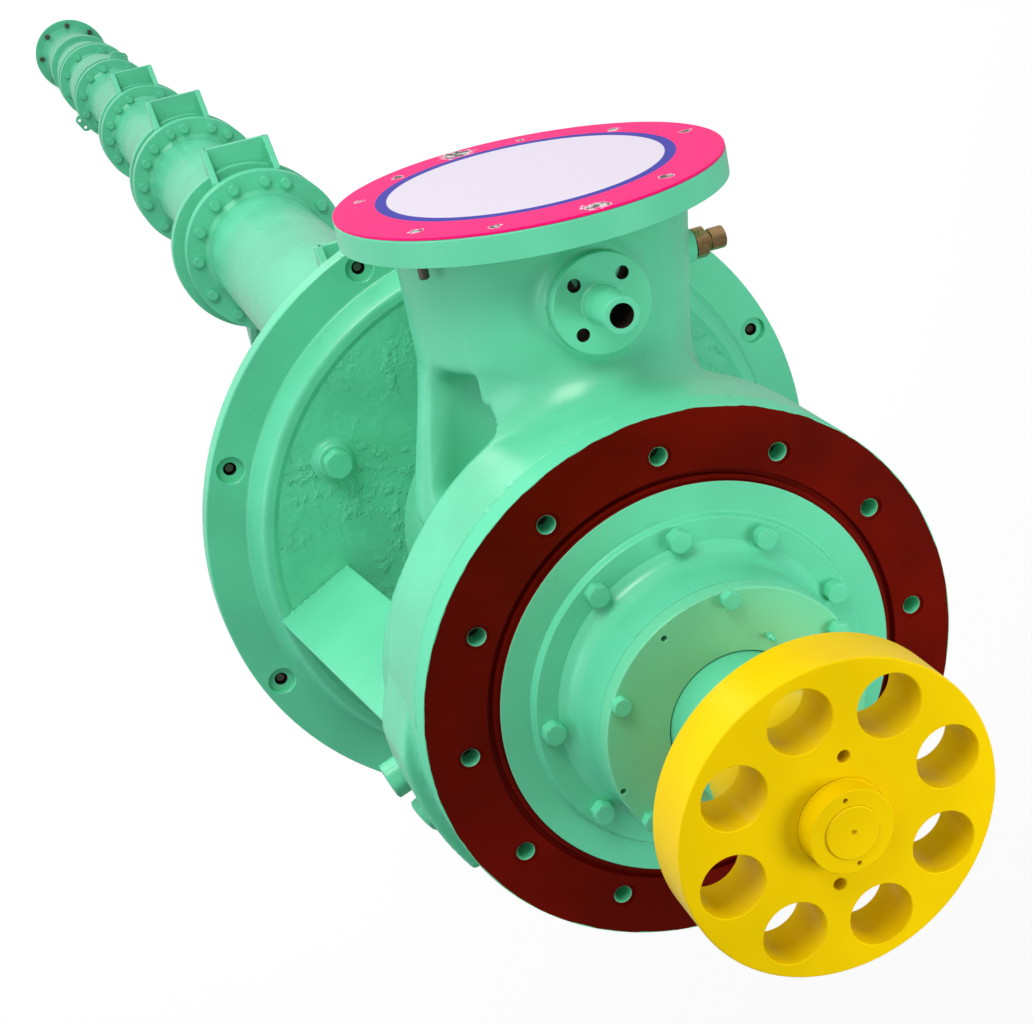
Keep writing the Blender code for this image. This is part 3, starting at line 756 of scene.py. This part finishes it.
class PUMP_OT_base_flange(bpy.types.Operator):
    """The round base flange with its rough raised pad, bolt holes, plug boss and hexagon plug"""

    bl_idname = "pump.base_flange"
    bl_label = "Base flange"

    def execute(self, context):
        radius = sizes().base_radius
        flange = build("base_flange_disc", lathe((
            (0.150, RECESS), (0.150, PAD_Z), (0.446, PAD_Z, 0.006), (0.454, PAD_Z + 0.003, 0.006),
            (0.472, PAD_Z + 0.002, 0.014), (0.490, BASE_TOP_Z, 0.006), (radius, BASE_TOP_Z, 0.004),
            (radius, 0.0, 0.003), (0.243, 0.0, 0.0008), (0.243, RECESS),
        ), 160, steps=6), (machined_enamel, rough_enamel, bore_rust_and_shade, casting_enamel), ["base_flange"])
        places = ring(8, 0.525, 21.0)
        drilled(flange, copies(hole(0.0236, 0.027, BASE_TOP_Z, 0.0012), places))
        # The narrow holes' walls and blind ends take the near-black bore finish: painted shade in the holes.
        drilled(flange, copies(hole(0.0115, 0.003, 0.0272, sides=32), places), paint=2)
        repaint(flange, 3, lambda face, reach: face.center.z > 0.045 and reach > 0.2)
        repaint(flange, 1, lambda face, reach: abs(face.center.z - PAD_Z) < 0.0001 and face.normal.z > 0.99
                and reach > 0.2)
        stud = lathe((
            (0.0, 0.0215), (0.0068, 0.0215), (0.0088, 0.0195), (0.0088, 0.0035), (0.0, 0.0035),
        ), 20)
        build("base_stud_ends", copies(stud, places), stud_steel)
        boss = lathe((
            (0.0, 0.101), (0.031, 0.101, 0.006), (0.032, PAD_Z + 0.003, 0.006), (0.050, PAD_Z - 0.004),
            (0.0, 0.07),
        ), 40, at(0.198, 0.313, 0.0))
        build("base_plug_boss", boss, casting_enamel)
        plug = moved(hex_head(0.044, 0.024), at(0.198, 0.313, 0.1013))
        build("base_plug_hexagon", plug, machined_enamel, ["base_hex_plug"])
        return {"FINISHED"}


def neck_field(x, y, z, drawn_in=True):
    """Distance to the branch: under a crease its left side is wider and deeper, and its foot draws in."""
    past = np.clip(NECK_CREASE_X - x, 0, 0.225) * np.clip((z - BRANCH_Z + 0.14) / 0.12, 0, 1) * drawn_in
    left = 0.214 + 0.26 * past
    right = 0.193 + 0.145 * np.clip(x - 0.40, 0, 0.2) + 0.20 * np.clip(0.37 - x, 0, 0.15)
    reach = (left + right) / 2 - 1.9 * np.clip(0.26 - x, 0, 0.3) ** 2
    upper_left = np.clip(y / 0.08, 0, 1) * np.clip((z - BRANCH_Z) / 0.03, 0, 1)
    deeper = 1 + 0.9 * np.clip(past / 0.045, 0, 1) * upper_left
    across = np.hypot(y - (left - right) / 2, (z - BRANCH_Z) * deeper)
    return np.maximum((across - reach) / np.sqrt(deeper), -x - 0.02)


def saddle_field(x, y, z, from_axis, turn):
    """Distance to the saddle that carries the branch on the stool, with a flat underside."""
    radius = sizes().stool_radius - STOOL_INSET
    fillet = sizes().fillet + 0.040 * np.clip(1 - (turn / 24.0) ** 2, 0, 1)
    top = fillet_of(from_axis - radius, neck_field(x, y, z, False), fillet)
    under = STOOL_UNDER_Z - 0.042 * np.clip((from_axis - radius) / 0.043, 0, 1)
    return np.maximum(-fillet_of(-top, z - under, 0.007), z - STOOL_TOP_Z)


def name_field(from_axis, turn, z):
    """Distance to the bare raised field cast on the stool's side."""
    rise = 0.021 * np.clip((turn - 81.0) / 11.0, 0, 1)
    past = np.stack([
        np.abs(np.radians(turn - 101.0)) * sizes().stool_radius - 0.139,
        from_axis - sizes().stool_radius - rise + 0.007,
        np.abs(z - 0.702) - 0.056,
    ])
    return np.sqrt((np.maximum(past, 0) ** 2).sum(0)) + np.minimum(past.max(0), 0) - 0.007


def head_field(points):
    """Distance to the cast head: waist, stool, branch, bosses, legs and the flare at its foot."""
    x, y, z = points[..., 0], points[..., 1], points[..., 2]
    from_axis = np.hypot(x, y)
    turn = np.degrees(np.arctan2(y, x))
    waist = column_field(from_axis, z, 0.185, 0.0, 0.750, 0.01)
    body = fillet_of(waist, z - PAD_Z, 0.07)
    rear = STOOL_UNDER_Z - 0.048 * np.clip((np.abs(turn) - 50.0) / 35.0, 0, 1)
    stool = column_field(from_axis, z, sizes().stool_radius - STOOL_INSET, rear, STOOL_TOP_Z + 0.04, 0.005)
    stool = fillet_of(stool, name_field(from_axis, turn, z), 0.004)
    body = fillet_of(body, neck_field(x, y, z), 0.03)
    hollow = column_field(np.hypot(y - 0.196, z - 0.605), x, 0.088, 0.24, NECK_CREASE_X + 0.002, 0.03)
    body = -fillet_of(-body, hollow, 0.02)
    body = fillet_of(body, stool, 0.014)
    body = fillet_of(body, saddle_field(x, y, z, from_axis, turn), 0.008)
    tap = column_field(np.hypot(x - TAP_X, y), z, 0.078, 0.5, 0.705, 0.004)
    body = fillet_of(body, tap, 0.02)
    fitting = column_field(np.hypot(x - 0.508, z - BRANCH_Z), -y, 0.026, 0.1, 0.233, 0.004)
    body = fillet_of(body, fitting, 0.012)
    for degrees, _ in SIDE_PLUGS:
        way = math.radians(degrees)
        along = x * math.cos(way) + y * math.sin(way)
        aside = np.hypot(-x * math.sin(way) + y * math.cos(way), z - SIDE_PLUG_Z)
        body = fillet_of(body, column_field(aside, along, 0.032, 0.350, 0.405, 0.004), 0.006)
    for mirror in (1.0, -1.0):
        leg = slab_field(points * np.array([1.0, mirror, 1.0]), leg_place(), LEG_INSIDE, 0.002)
        body = fillet_of(body, leg, 0.012)
    body = np.maximum(body, PAD_Z + GAP - z)
    return np.maximum(body, np.maximum(z - STOOL_TOP_Z, x - BRANCH_END_X))


def leg_place():
    """The middle of the leaning leg on the +Y side, its sides along X and its width leaning over."""
    lean = np.eye(4)
    lean[1, 2] = -0.136
    turn = np.array(Matrix.Rotation(math.radians(-64.2), 4, "Z"))
    return np.array(at(-0.067, 0.465, PAD_Z)) @ lean @ turn @ np.array(at(LEG_HALF[0], 0.0, LEG_HALF[2]))


class PUMP_OT_head_casting(bpy.types.Operator):
    """The cast discharge head as one soft surface: waist, branch, motor stool and legs"""

    bl_idname = "pump.head_casting"
    bl_label = "Head casting"

    def execute(self, context):
        points, faces = net_surface(head_field, CAST_LOW, CAST_HIGH, sizes().cast_step)
        points[:, 2] = np.clip(points[:, 2], PAD_Z + GAP, STOOL_TOP_Z)
        points[:, 0] = np.minimum(points[:, 0], BRANCH_END_X)
        build("head_casting", (points, faces), casting_enamel, ["discharge_head"], sharp=60)
        corners = np.array(list(product((-1, 1), repeat=3))) * LEG_HALF
        sides = [(0, 1, 3, 2), (4, 6, 7, 5), (0, 4, 5, 1), (2, 3, 7, 6), (0, 2, 6, 4), (1, 5, 7, 3)]
        for name, mirror in (("left", 1), ("right", -1)):
            verts, _ = moved((corners, sides), leg_place())
            verts[:, 2] = np.maximum(verts[:, 2], PAD_Z + GAP)
            verts[:, 1] *= mirror
            faces = [side[::mirror] for side in sides]
            build(f"leg_{name}", (verts, faces), machined_enamel, [f"stool_leg_{name}"], bevel=0.003)
        for number, (degrees, height) in enumerate(SIDE_PLUGS, 1):
            outward = polar(degrees, 0.0, SIDE_PLUG_Z) @ OUT_X @ at(z=0.4053)
            plug = moved(hex_head(0.054, height, 0.92), outward)
            build(f"stool_plug_{number}", plug, machined_enamel, [f"stool_side_plug_{number}"])
        return {"FINISHED"}


class PUMP_OT_discharge_flange(bpy.types.Operator):
    """The flange at the end of the branch, its film-covered cover and the stud ends"""

    bl_idname = "pump.discharge_flange"
    bl_label = "Discharge flange"

    def execute(self, context):
        centre = at(z=BRANCH_Z) @ OUT_X
        flange = build("branch_flange", lathe((
            (0.165, 0.632), (0.165, 0.670), (0.288, 0.670, 0.003), (0.288, 0.632, 0.004),
        ), 160), machined_enamel, ["discharge_flange"])
        flange.data.transform(centre)
        cover = lathe(((0.0, 0.674), (0.2872, 0.674, 0.0015), (0.2872, 0.6703), (0.0, 0.6703)), 160, centre)
        build("branch_cover", cover, cover_film, ["discharge_cover"])
        studs = []
        for degrees, low in ((119.0, 0.598), (-139.5, 0.612), (60.0, 0.608), (-60.0, 0.606)):
            profile = [(0.0, 0.636), (0.0075, 0.636), (0.0075, low + 0.002), (0.0055, low), (0.0, low)]
            studs.append(lathe(profile, 20, centre @ polar(degrees, 0.236)))
        build("branch_stud_ends", joined(*studs), stud_steel)
        return {"FINISHED"}


class PUMP_OT_tapping(bpy.types.Operator):
    """The small round flange with four holes and a pipe nozzle on top of the branch"""

    bl_idname = "pump.tapping"
    bl_label = "Tapping flange"

    def execute(self, context):
        centre = at(TAP_X)
        finishes = (machined_enamel, bore_rust_and_shade)
        flange = build("tapping_plate", lathe((
            (0.0, 0.7225), (0.029, 0.7225, 0.0015), (0.032, 0.720, 0.002), (0.0725, 0.720, 0.003),
            (0.0725, 0.7053), (0.0, 0.7053),
        ), 96, centre), finishes, ["tapping_flange"])
        places = [centre @ place for place in ring(4, 0.050, 45.0)]
        # The holes' walls take the near-black bore finish: painted shade in the holes.
        drilled(flange, copies(hole(0.0098, 0.7065, 0.720, sides=28), places), paint=1)
        pipe = build("tapping_pipe", lathe((
            (0.017, 0.726), (0.017, 0.793, 0.001), (0.026, 0.793, 0.002), (0.026, 0.733, 0.006),
            (0.0285, 0.7228), (0.017, 0.7228),
        ), 64), finishes, ["tapping_nozzle"])
        # The nozzle's bore takes the near-black bore finish: painted shade inside the pipe.
        repaint(pipe, 1, lambda face, reach: reach < 0.0175)
        pipe.data.transform(centre)
        return {"FINISHED"}


class PUMP_OT_brass_fitting(bpy.types.Operator):
    """The brass bushing and plug on the side of the branch"""

    bl_idname = "pump.brass_fitting"
    bl_label = "Brass fitting"

    def execute(self, context):
        side = at(0.508, 0.0, BRANCH_Z) @ OUT_MINUS_Y
        bushing = moved(hex_head(0.044, 0.020, 0.93), side @ at(z=0.2333))
        build("fitting_bushing", bushing, brass, ["brass_bushing"])
        neck = lathe([(0.0, 0.262), (0.0135, 0.262), (0.0135, 0.250), (0.0, 0.250)], 32, side)
        head = moved(hex_head(0.032, 0.024), side @ at(z=0.2605))
        build("fitting_plug", joined(neck, head), brass, ["brass_plug"])
        return {"FINISHED"}


class PUMP_OT_motor_flange(bpy.types.Operator):
    """The primed ring that the motor stands on, with its twelve threaded holes"""

    bl_idname = "pump.motor_flange"
    bl_label = "Motor flange"

    def execute(self, context):
        radius = sizes().stool_radius
        made = build("motor_ring", lathe((
            (0.2967, STOOL_TOP_Z + GAP), (0.2967, 0.8395), (0.3035, 0.8395, 0.0006), (0.3045, 0.832),
            (0.311, 0.832), (0.312, MOTOR_FACE_Z, 0.0012), (radius, MOTOR_FACE_Z, 0.0018),
            (radius, STOOL_TOP_Z - 0.002, 0.0008), (radius - 0.0005, STOOL_TOP_Z - 0.002),
            (radius - 0.0005, STOOL_TOP_Z + GAP),
        ), 192, steps=2), (primer, machined_enamel, bore_rust_and_shade), ["motor_flange"])
        places = ring(12, 0.343)
        drilled(made, copies(hole(0.0182, MOTOR_FACE_Z - 0.0030, MOTOR_FACE_Z), places))
        low = MOTOR_FACE_Z - 0.038
        drilled(made, copies(hole(0.0128, low, MOTOR_FACE_Z - 0.0029, 0.0008), places), paint=1)
        # The holes' blind ends take the near-black bore finish: painted shade at the bottom of the holes.
        repaint(made, 2, lambda face, reach: face.material_index == 1 and face.center.z < low + 0.001)
        return {"FINISHED"}


class PUMP_OT_bearing_housing(bpy.types.Operator):
    """The stepped bearing plate, the housing with its cover, and the bolts that hold them"""

    bl_idname = "pump.bearing_housing"
    bl_label = "Bearing housing"

    def execute(self, context):
        plate = build("plate", lathe((
            (0.045, 0.8003), (0.045, HOUSING_TOP_Z), (0.2485, HOUSING_TOP_Z, 0.0025), (0.2515, 0.846, 0.003),
            (0.296, 0.846, 0.0025), (0.296, 0.8003),
        ), 160), (machined_enamel, primer), ["bearing_plate"])
        repaint(plate, 1, lambda face, reach: reach > 0.2935 and face.center.z < 0.845)
        build("housing", lathe((
            (0.0359, HOUSING_TOP_Z + GAP), (0.0359, 0.9503), (0.1915, 0.9503, 0.001), (0.192, 0.888, 0.05),
            (0.203, 0.866, 0.02), (0.2165, HOUSING_TOP_Z + GAP),
        ), 160, steps=8), machined_enamel, ["bearing_housing"])
        lid = build("housing_cover", lathe((
            (0.1005, 0.9513), (0.1005, COVER_TOP_Z, 0.001), (0.191, COVER_TOP_Z, 0.003), (0.191, 0.9513),
        ), 160), cover_enamel, ["bearing_cover"])
        spots = [polar(28.6, 0.174), polar(104.4, 0.184)]
        drilled(lid, copies(hole(0.0042, 0.960, COVER_TOP_Z, 0.0006, sides=20), spots))
        ring_degrees = (0.5, 34.4, 87.6, 126.8, 163.0, -146.0, -108.0, -70.4, -32.5)
        cover_degrees = (-4.5, 62.8, 124.0, -176.0, -120.0, -62.4)
        for name, angles, radius, level, head in (
            ("housing_bolts", ring_degrees, 0.228, HOUSING_TOP_Z, hex_head(sizes().cover_bolt, 0.019, 0.86)),
            ("cover_bolts", cover_degrees, 0.180, COVER_TOP_Z, hex_head(sizes().small_bolt, 0.015, 0.86)),
        ):
            places = [polar(angle, radius, level) @ Matrix.Rotation(0.7 * i, 4, "Z")
                      for i, angle in enumerate(angles)]
            build(name, copies(head, places), machined_enamel)
        nipple = lathe((
            (0.0, 0.996), (0.002, 0.996), (0.0032, 0.993), (0.0022, 0.988), (0.0045, 0.985),
            (0.0045, COVER_TOP_Z), (0.0, COVER_TOP_Z),
        ), 20, polar(-30.0, 0.124))
        build("grease_nipple", nipple, machined_enamel)
        return {"FINISHED"}


class PUMP_OT_coupling(bpy.types.Operator):
    """The yellow coupling half with its pin holes and hub, the shaft's end, and the sleeve below"""

    bl_idname = "pump.coupling"
    bl_label = "Coupling half"

    def execute(self, context):
        radius, top = sizes().coupling_radius, COUPLING_TOP_Z
        disc = build("coupling_disc", lathe((
            (0.0358, 1.198), (0.0358, 1.306), (0.0565, 1.306, 0.002), (0.0565, 1.281, 0.0008),
            (0.0580, 1.281, 0.0005), (0.0580, 1.2765, 0.0005), (0.0605, top), (radius, top, 0.003),
            (radius, 1.198, 0.003),
        ), 192, steps=3), yellow_enamel, ["coupling_half"], "rotor")
        pins = copies(hole(0.0427, 1.18, top, 0.0012, sides=72), ring(8, 0.1545, PIN_DEGREES))
        pullers = copies(hole(0.0085, 1.248, top, 0.001, sides=28), ring(2, 0.087, PIN_DEGREES - 22.5))
        drilled(disc, joined(pins, pullers))
        drilled(disc, copies(hole(0.0034, 1.296, 1.306, sides=16), ring(2, 0.0455, 4.0)))
        shaft = lathe((
            (0.0, 1.3035), (0.0022, 1.305), (0.005, 1.309), (0.0345, 1.309, 0.001), (0.0355, 1.3075),
            (0.0355, 0.50), (0.0, 0.50),
        ), 96, steps=3)
        build("shaft_end", shaft, yellow_enamel, ["drive_shaft"], "rotor")
        sleeve = ((0.0358, 0.953), (0.0358, 1.1977), (0.099, 1.1977, 0.001), (0.099, 0.953, 0.001))
        build("sleeve", lathe(sleeve, 128), sleeve_enamel, ["shaft_sleeve"], "rotor")
        return {"FINISHED"}


def pipe(bore, outer):
    """A pipe from its outer profile of (radius, height, fillet), top to bottom, and a straight bore."""
    return lathe([(bore, outer[0][1]), *outer, (bore, outer[-1][1])])


class PUMP_OT_column(bpy.types.Operator):
    """The column's pipes and bowls with their flanges, and the bolts and nuts of every joint"""

    bl_idname = "pump.column"
    bl_label = "Column"

    def execute(self, context):
        level, disc_r, pipe_r, _ = JOINTS[0]
        outer = [
            (0.240, RECESS - GAP), (0.240, -DISC_T, 0.003), (pipe_r + WELD, -DISC_T, 0.004),
            (pipe_r, -DISC_T - WELD, 0.008),
        ]
        outer += self.lower_end(level, disc_r, pipe_r)
        build("pipe_1", pipe(pipe_r - PIPE_WALL, outer), machined_enamel, ["column_pipe_1"])
        for number in range(1, len(JOINTS)):
            level, disc_r, _, pipe_r = JOINTS[number - 1]
            next_level, next_r, _, _ = JOINTS[number]
            name, finish, body = f"column_pipe_{number + 1}", machined_enamel, []
            if number == len(JOINTS) - 1:
                name, finish = "bowl_1", casting_enamel
                body = self.bulge(level - JOINT_T - WELD, next_level + WELD)
            outer = self.upper_end(level, disc_r, pipe_r) + body + self.lower_end(next_level, next_r, pipe_r)
            shape = pipe(pipe_r - PIPE_WALL, outer)
            if number == WIDE_PIPE:
                self.widen(shape[0], level - JOINT_T - 0.001, level - DISC_T - SPIGOT_T + 0.001)
            build(f"{name}_skin", shape, finish, [name])
        level, disc_r, _, pipe_r = JOINTS[-1]
        body = self.bulge(level - JOINT_T - WELD, BOWL_LOW_Z)
        end = [(pipe_r + WELD, BOWL_LOW_Z - WELD, 0.004), (0.168, BOWL_LOW_Z - WELD, 0.003), (0.168, -7.180)]
        outer = self.upper_end(level, disc_r, pipe_r) + body + end
        build("bowl_2_skin", pipe(pipe_r - PIPE_WALL, outer), casting_enamel, ["bowl_2"])
        self.bolts()
        self.ears()
        return {"FINISHED"}

    def widen(self, points, low, high):
        """Makes a disc of a pipe a little wider than its partner and shifts its rim to one side."""
        from_axis = np.hypot(points[:, 0], points[:, 1])
        rim = (from_axis > 0.21) & (points[:, 2] > low) & (points[:, 2] < high)
        points[rim, :2] *= 1 + 0.011 / from_axis[rim, None]
        points[rim, 1] += 0.015

    def lower_end(self, level, disc_r, pipe_r):
        """A pipe's lower end down to its disc's underside."""
        return [
            (pipe_r, level + WELD, 0.008), (pipe_r + WELD, level, 0.004), (disc_r, level, 0.003),
            (disc_r, level - DISC_T, 0.003),
        ]

    def upper_end(self, level, disc_r, pipe_r):
        """A pipe's upper end: the spigot under the joint above it, then its disc."""
        spigot_r = (disc_r + pipe_r) / 2 - 0.008
        disc_top = level - DISC_T - SPIGOT_T
        disc_low = disc_top - LOWER_DISC_T
        return [
            (spigot_r, level - DISC_T - GAP), (spigot_r, disc_top, 0.004), (disc_r, disc_top, 0.003),
            (disc_r, disc_low, 0.003), (pipe_r + WELD, disc_low, 0.004), (pipe_r, disc_low - WELD, 0.008),
        ]

    def bulge(self, high, low):
        """The rounded middle of a bowl."""
        shares = [i / 16 for i in range(1, 16)]
        return [(0.128 + 0.030 * math.sin(math.pi * share), high + (low - high) * share) for share in shares]

    def bolts(self):
        """Heads, washers and nuts round every joint of the column."""
        across = sizes().column_bolt
        head = hex_head(across, 0.017, washer=across * 0.62)
        bare = hex_head(across, 0.016)
        stud = lathe([(0.0, 0.030), (0.008, 0.030), (0.008, 0.0), (0.0, 0.0)], 16)
        nut = joined(hex_head(across, 0.022, washer=across * 0.62), stud)
        for number, ((level, disc_r, _, _), seen) in enumerate(zip(JOINTS, JOINT_BOLTS), 1):
            shapes = []
            for i, degrees in enumerate(self.spread(seen)):
                for shape, depth, way in (
                    (head, 0.0, STILL), (nut, DISC_T, UPSIDE_DOWN), (bare, DISC_T + SPIGOT_T, STILL),
                    (nut, JOINT_T, UPSIDE_DOWN),
                ):
                    place = polar(degrees, disc_r - 0.030, level - depth) @ way
                    shapes.append(moved(shape, place @ Matrix.Rotation(0.9 * i, 4, "Z")))
            build(f"joint_{number}_bolts", joined(*shapes), machined_enamel)

    def spread(self, seen):
        """The given angles, with others spread evenly over the rest of the circle."""
        rest = 360 - (seen[-1] - seen[0])
        count = round(rest / 26)
        return list(seen) + [seen[-1] + rest * i / count for i in range(1, count)]

    def ears(self):
        """The lifting ears with two holes each on the upper bowl's flange."""
        level, disc_r, _, _ = JOINTS[EAR_JOINT]
        low = level - JOINT_T
        half = [(disc_r - 0.02, 0.042), (disc_r + 0.014, 0.038), (disc_r + 0.026, 0.026)]
        outline = [(x, -y) for x, y in half] + half[::-1]
        for number, degrees in enumerate((-23.0, 117.0, -143.0), 1):
            turn = polar(degrees)
            shape = moved(prism(outline, low + 0.004, low + 0.026), turn)
            ear = build(f"bowl_ear_{number}", shape, machined_enamel, bevel=0.002)
            places = [turn @ at(disc_r + 0.010, side, 0.0) for side in (-0.020, 0.020)]
            drilled(ear, copies(hole(0.0075, low - 0.02, low + 0.03, sides=24), places))


class PUMP_OT_brackets(bpy.types.Operator):
    """The open box brackets under the column's joints"""

    bl_idname = "pump.brackets"
    bl_label = "Joint brackets"

    def execute(self, context):
        for number in range(BRACKET_JOINTS):
            level, disc_r, _, pipe_r = JOINTS[number]
            half, reach, inner = 0.43 * disc_r, 1.29 * disc_r, pipe_r - 0.002
            front = level - DISC_T - GAP
            back = level - JOINT_T - GAP
            low = back - BRACKET_T
            side = [(inner, front), (disc_r * 0.93, front), (reach, back), (reach, low), (inner, low)]
            floor = [(inner, back), (reach, back), (reach, low), (inner, low)]
            shape = joined(
                self.plate(side, -half, -half + BRACKET_T), self.plate(side, half - BRACKET_T, half),
                self.plate(floor, -half + 0.008, half - 0.008),
            )
            for way, degrees in (("front", 0.0), ("rear", 180.0)):
                name = f"bracket_{number + 1}_{way}"
                build(f"{name}_plates", moved(shape, polar(degrees)), machined_enamel, [name], bevel=0.0025)
        return {"FINISHED"}

    def plate(self, outline, low, high):
        """An outline of (x, z) points as a plate between two places along Y."""
        verts, faces = prism(outline, low, high)
        return verts[:, [0, 2, 1]], faces


class PUMP_OT_suction(bpy.types.Operator):
    """The suction casing with its open flange at the foot of the column"""

    bl_idname = "pump.suction"
    bl_label = "Suction casing"

    def execute(self, context):
        casing = build("suction_pipe", pipe(0.128, [
            (0.168, -7.1803), (0.168, -7.210, 0.003), (0.152, -7.210, 0.004), (0.140, -7.222, 0.008),
            (0.140, SUCTION_Z + WELD, 0.008), (0.152, SUCTION_Z, 0.004), (0.189, SUCTION_Z, 0.003),
            (0.189, -7.865, 0.003),
        ]), machined_enamel, ["suction_casing"])
        places = ring(8, 0.160, -6.0)
        drilled(casing, copies(hole(0.010, -7.90, SUCTION_Z, sides=28), places))
        stud = lathe([
            (0.0, -7.818), (0.0072, -7.818), (0.0088, -7.820), (0.0088, STUD_END_Z), (0.0, STUD_END_Z),
        ], 20)
        nut = moved(hex_head(sizes().small_bolt, 0.014), at(z=SUCTION_Z))
        build("suction_studs", copies(joined(stud, nut), places), stud_steel)
        return {"FINISHED"}


class PUMP_OT_inner_rotor(bpy.types.Operator):
    """Bare metal for the line shaft and the impeller inside the column"""

    bl_idname = "pump.inner_rotor"
    bl_label = "Line shaft and impeller"

    def execute(self, context):
        for name, maker in (("line_shaft", stud_steel), ("impeller", brass)):
            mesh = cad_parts[name].data
            mesh.materials.clear()
            mesh.materials.append(material(maker))
        return {"FINISHED"}


class PUMP_OT_stage(bpy.types.Operator):
    """Pale floor, soft studio light and the camera at the photograph's angle"""

    bl_idname = "pump.stage"
    bl_label = "Floor, light and camera"

    def execute(self, context):
        scene = context.scene
        settings = scene.pump_stage
        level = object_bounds()[0][2] - 0.005
        floor = build("floor", lathe([(0.0, level), (400.0, level)], 64), floor_paint, body=None)
        floor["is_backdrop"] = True
        floor.visible_glossy = False
        head, column = (0.1, 0.0, 0.4), (0.0, 0.0, -3.2)
        self.area("key", (4.9, 1.9, 2.5), head, (2.6, 2.6), settings.key_power, "FFFAF2")
        self.area("side", (1.0, 4.6, 1.2), head, (2.2, 2.2), settings.side_power, "E6F2FF")
        front = self.area("front", (-0.3, -1.4, 2.6), (0.0, 0.0, 0.9), (1.0, 1.0), settings.front_power)
        front.visible_glossy = False
        self.area("strip", (3.3, 1.4, -3.2), column, (0.9, 6.4), settings.strip_power)
        self.surroundings(scene, settings.sky)
        self.camera(scene)
        scene.view_settings.view_transform = "Standard"
        return {"FINISHED"}

    def area(self, name, place, target, sides, watts, tint="FFFFFF"):
        """A soft light aimed at a point, wide across and tall along the pump."""
        lamp = bpy.data.lights.new(name, "AREA")
        lamp.shape = "RECTANGLE"
        lamp.size, lamp.size_y = sides
        lamp.energy = watts
        lamp.color = from_hex(tint)
        made = bpy.data.objects.new(name, lamp)
        made.location = place
        made.visible_camera = False
        made.rotation_euler = (Vector(target) - Vector(place)).to_track_quat("-Z", "Y").to_euler()
        bpy.context.scene.collection.objects.link(made)
        return made

    def surroundings(self, scene, strength):
        """A room that is dim overhead, and pale to the side that the branch and the cover face."""
        world = bpy.data.worlds.new("studio")
        scene.world = world
        world.use_nodes = True
        tree = world.node_tree
        tree.nodes.clear()
        way = add(tree, "TexCoord", {}).outputs["Generated"]
        facing = add(tree, "VectorMath", {0: way, 1: (0.80, 0.55, -0.25)}, operation="DOT_PRODUCT")
        lift = add(tree, "MapRange", {0: facing, 1: -0.6, 2: 0.9, 3: 0.32, 4: 1.05})
        level = add(tree, "Math", {0: lift, 1: strength}, operation="MULTIPLY")
        light = add(tree, "Background", {"Color": (1.0, 1.0, 1.0, 1.0), "Strength": level})
        plain = add(tree, "Background", {"Color": (0.98, 0.98, 0.98, 1.0), "Strength": 1.0})
        seen = add(tree, "LightPath", {}).outputs["Is Camera Ray"]
        both = add(tree, "MixShader", {0: seen, 1: light, 2: plain})
        add(tree, "OutputWorld", {"Surface": both})

    def camera(self, scene):
        """A camera where the photographer stood, rolled so that the branch points up in the picture."""
        lens = bpy.data.cameras.new("camera")
        lens.lens = 66.198
        lens.sensor_width = 36.0
        centre_x, centre_y = 600.0, 492.0
        lens.shift_x = (FRAME_WIDTH / 2 - centre_x) / FRAME_WIDTH
        lens.shift_y = (centre_y - FRAME_HEIGHT / 2) / FRAME_WIDTH
        lens.clip_start, lens.clip_end = 0.05, 200.0
        made = bpy.data.objects.new("camera", lens)
        made.location = (1.28798, 0.75535, 3.08757)
        made.rotation_euler = Euler([math.radians(a) for a in (-18.9972, -20.3900, -100.8513)])
        scene.collection.objects.link(made)
        scene.camera = made


STEPS = (
    PUMP_OT_base_flange, PUMP_OT_head_casting, PUMP_OT_discharge_flange, PUMP_OT_tapping,
    PUMP_OT_brass_fitting, PUMP_OT_motor_flange, PUMP_OT_bearing_housing, PUMP_OT_coupling,
    PUMP_OT_column, PUMP_OT_brackets, PUMP_OT_suction, PUMP_OT_inner_rotor, PUMP_OT_stage,
)


class PUMP_PT_panel(bpy.types.Panel):
    """Lists the pump's settings and the pieces to build"""

    bl_idname = "PUMP_PT_panel"
    bl_label = "Vertical column pump"
    bl_space_type = "VIEW_3D"
    bl_region_type = "UI"
    bl_category = "Pump"

    def draw(self, context):
        for name in GROUPS:
            group = getattr(context.scene, name)
            box = self.layout.box()
            for key in group.__annotations__:
                box.prop(group, key)
        for step in STEPS:
            self.layout.operator(step.bl_idname)


GROUPS = {"pump_colours": PumpColours, "pump_sizes": PumpSizes, "pump_stage": PumpStage}


def register():
    for each in (*GROUPS.values(), *STEPS, PUMP_PT_panel):
        bpy.utils.register_class(each)
    for name, group in GROUPS.items():
        setattr(bpy.types.Scene, name, PointerProperty(type=group))


def unregister():
    for name in GROUPS:
        delattr(bpy.types.Scene, name)
    for each in (PUMP_PT_panel, *reversed(STEPS), *GROUPS.values()):
        bpy.utils.unregister_class(each)


def main():
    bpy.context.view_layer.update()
    register()
    for step in STEPS:
        group, name = step.bl_idname.split(".")
        getattr(getattr(bpy.ops, group), name)()


if __name__ == "__main__":
    main()
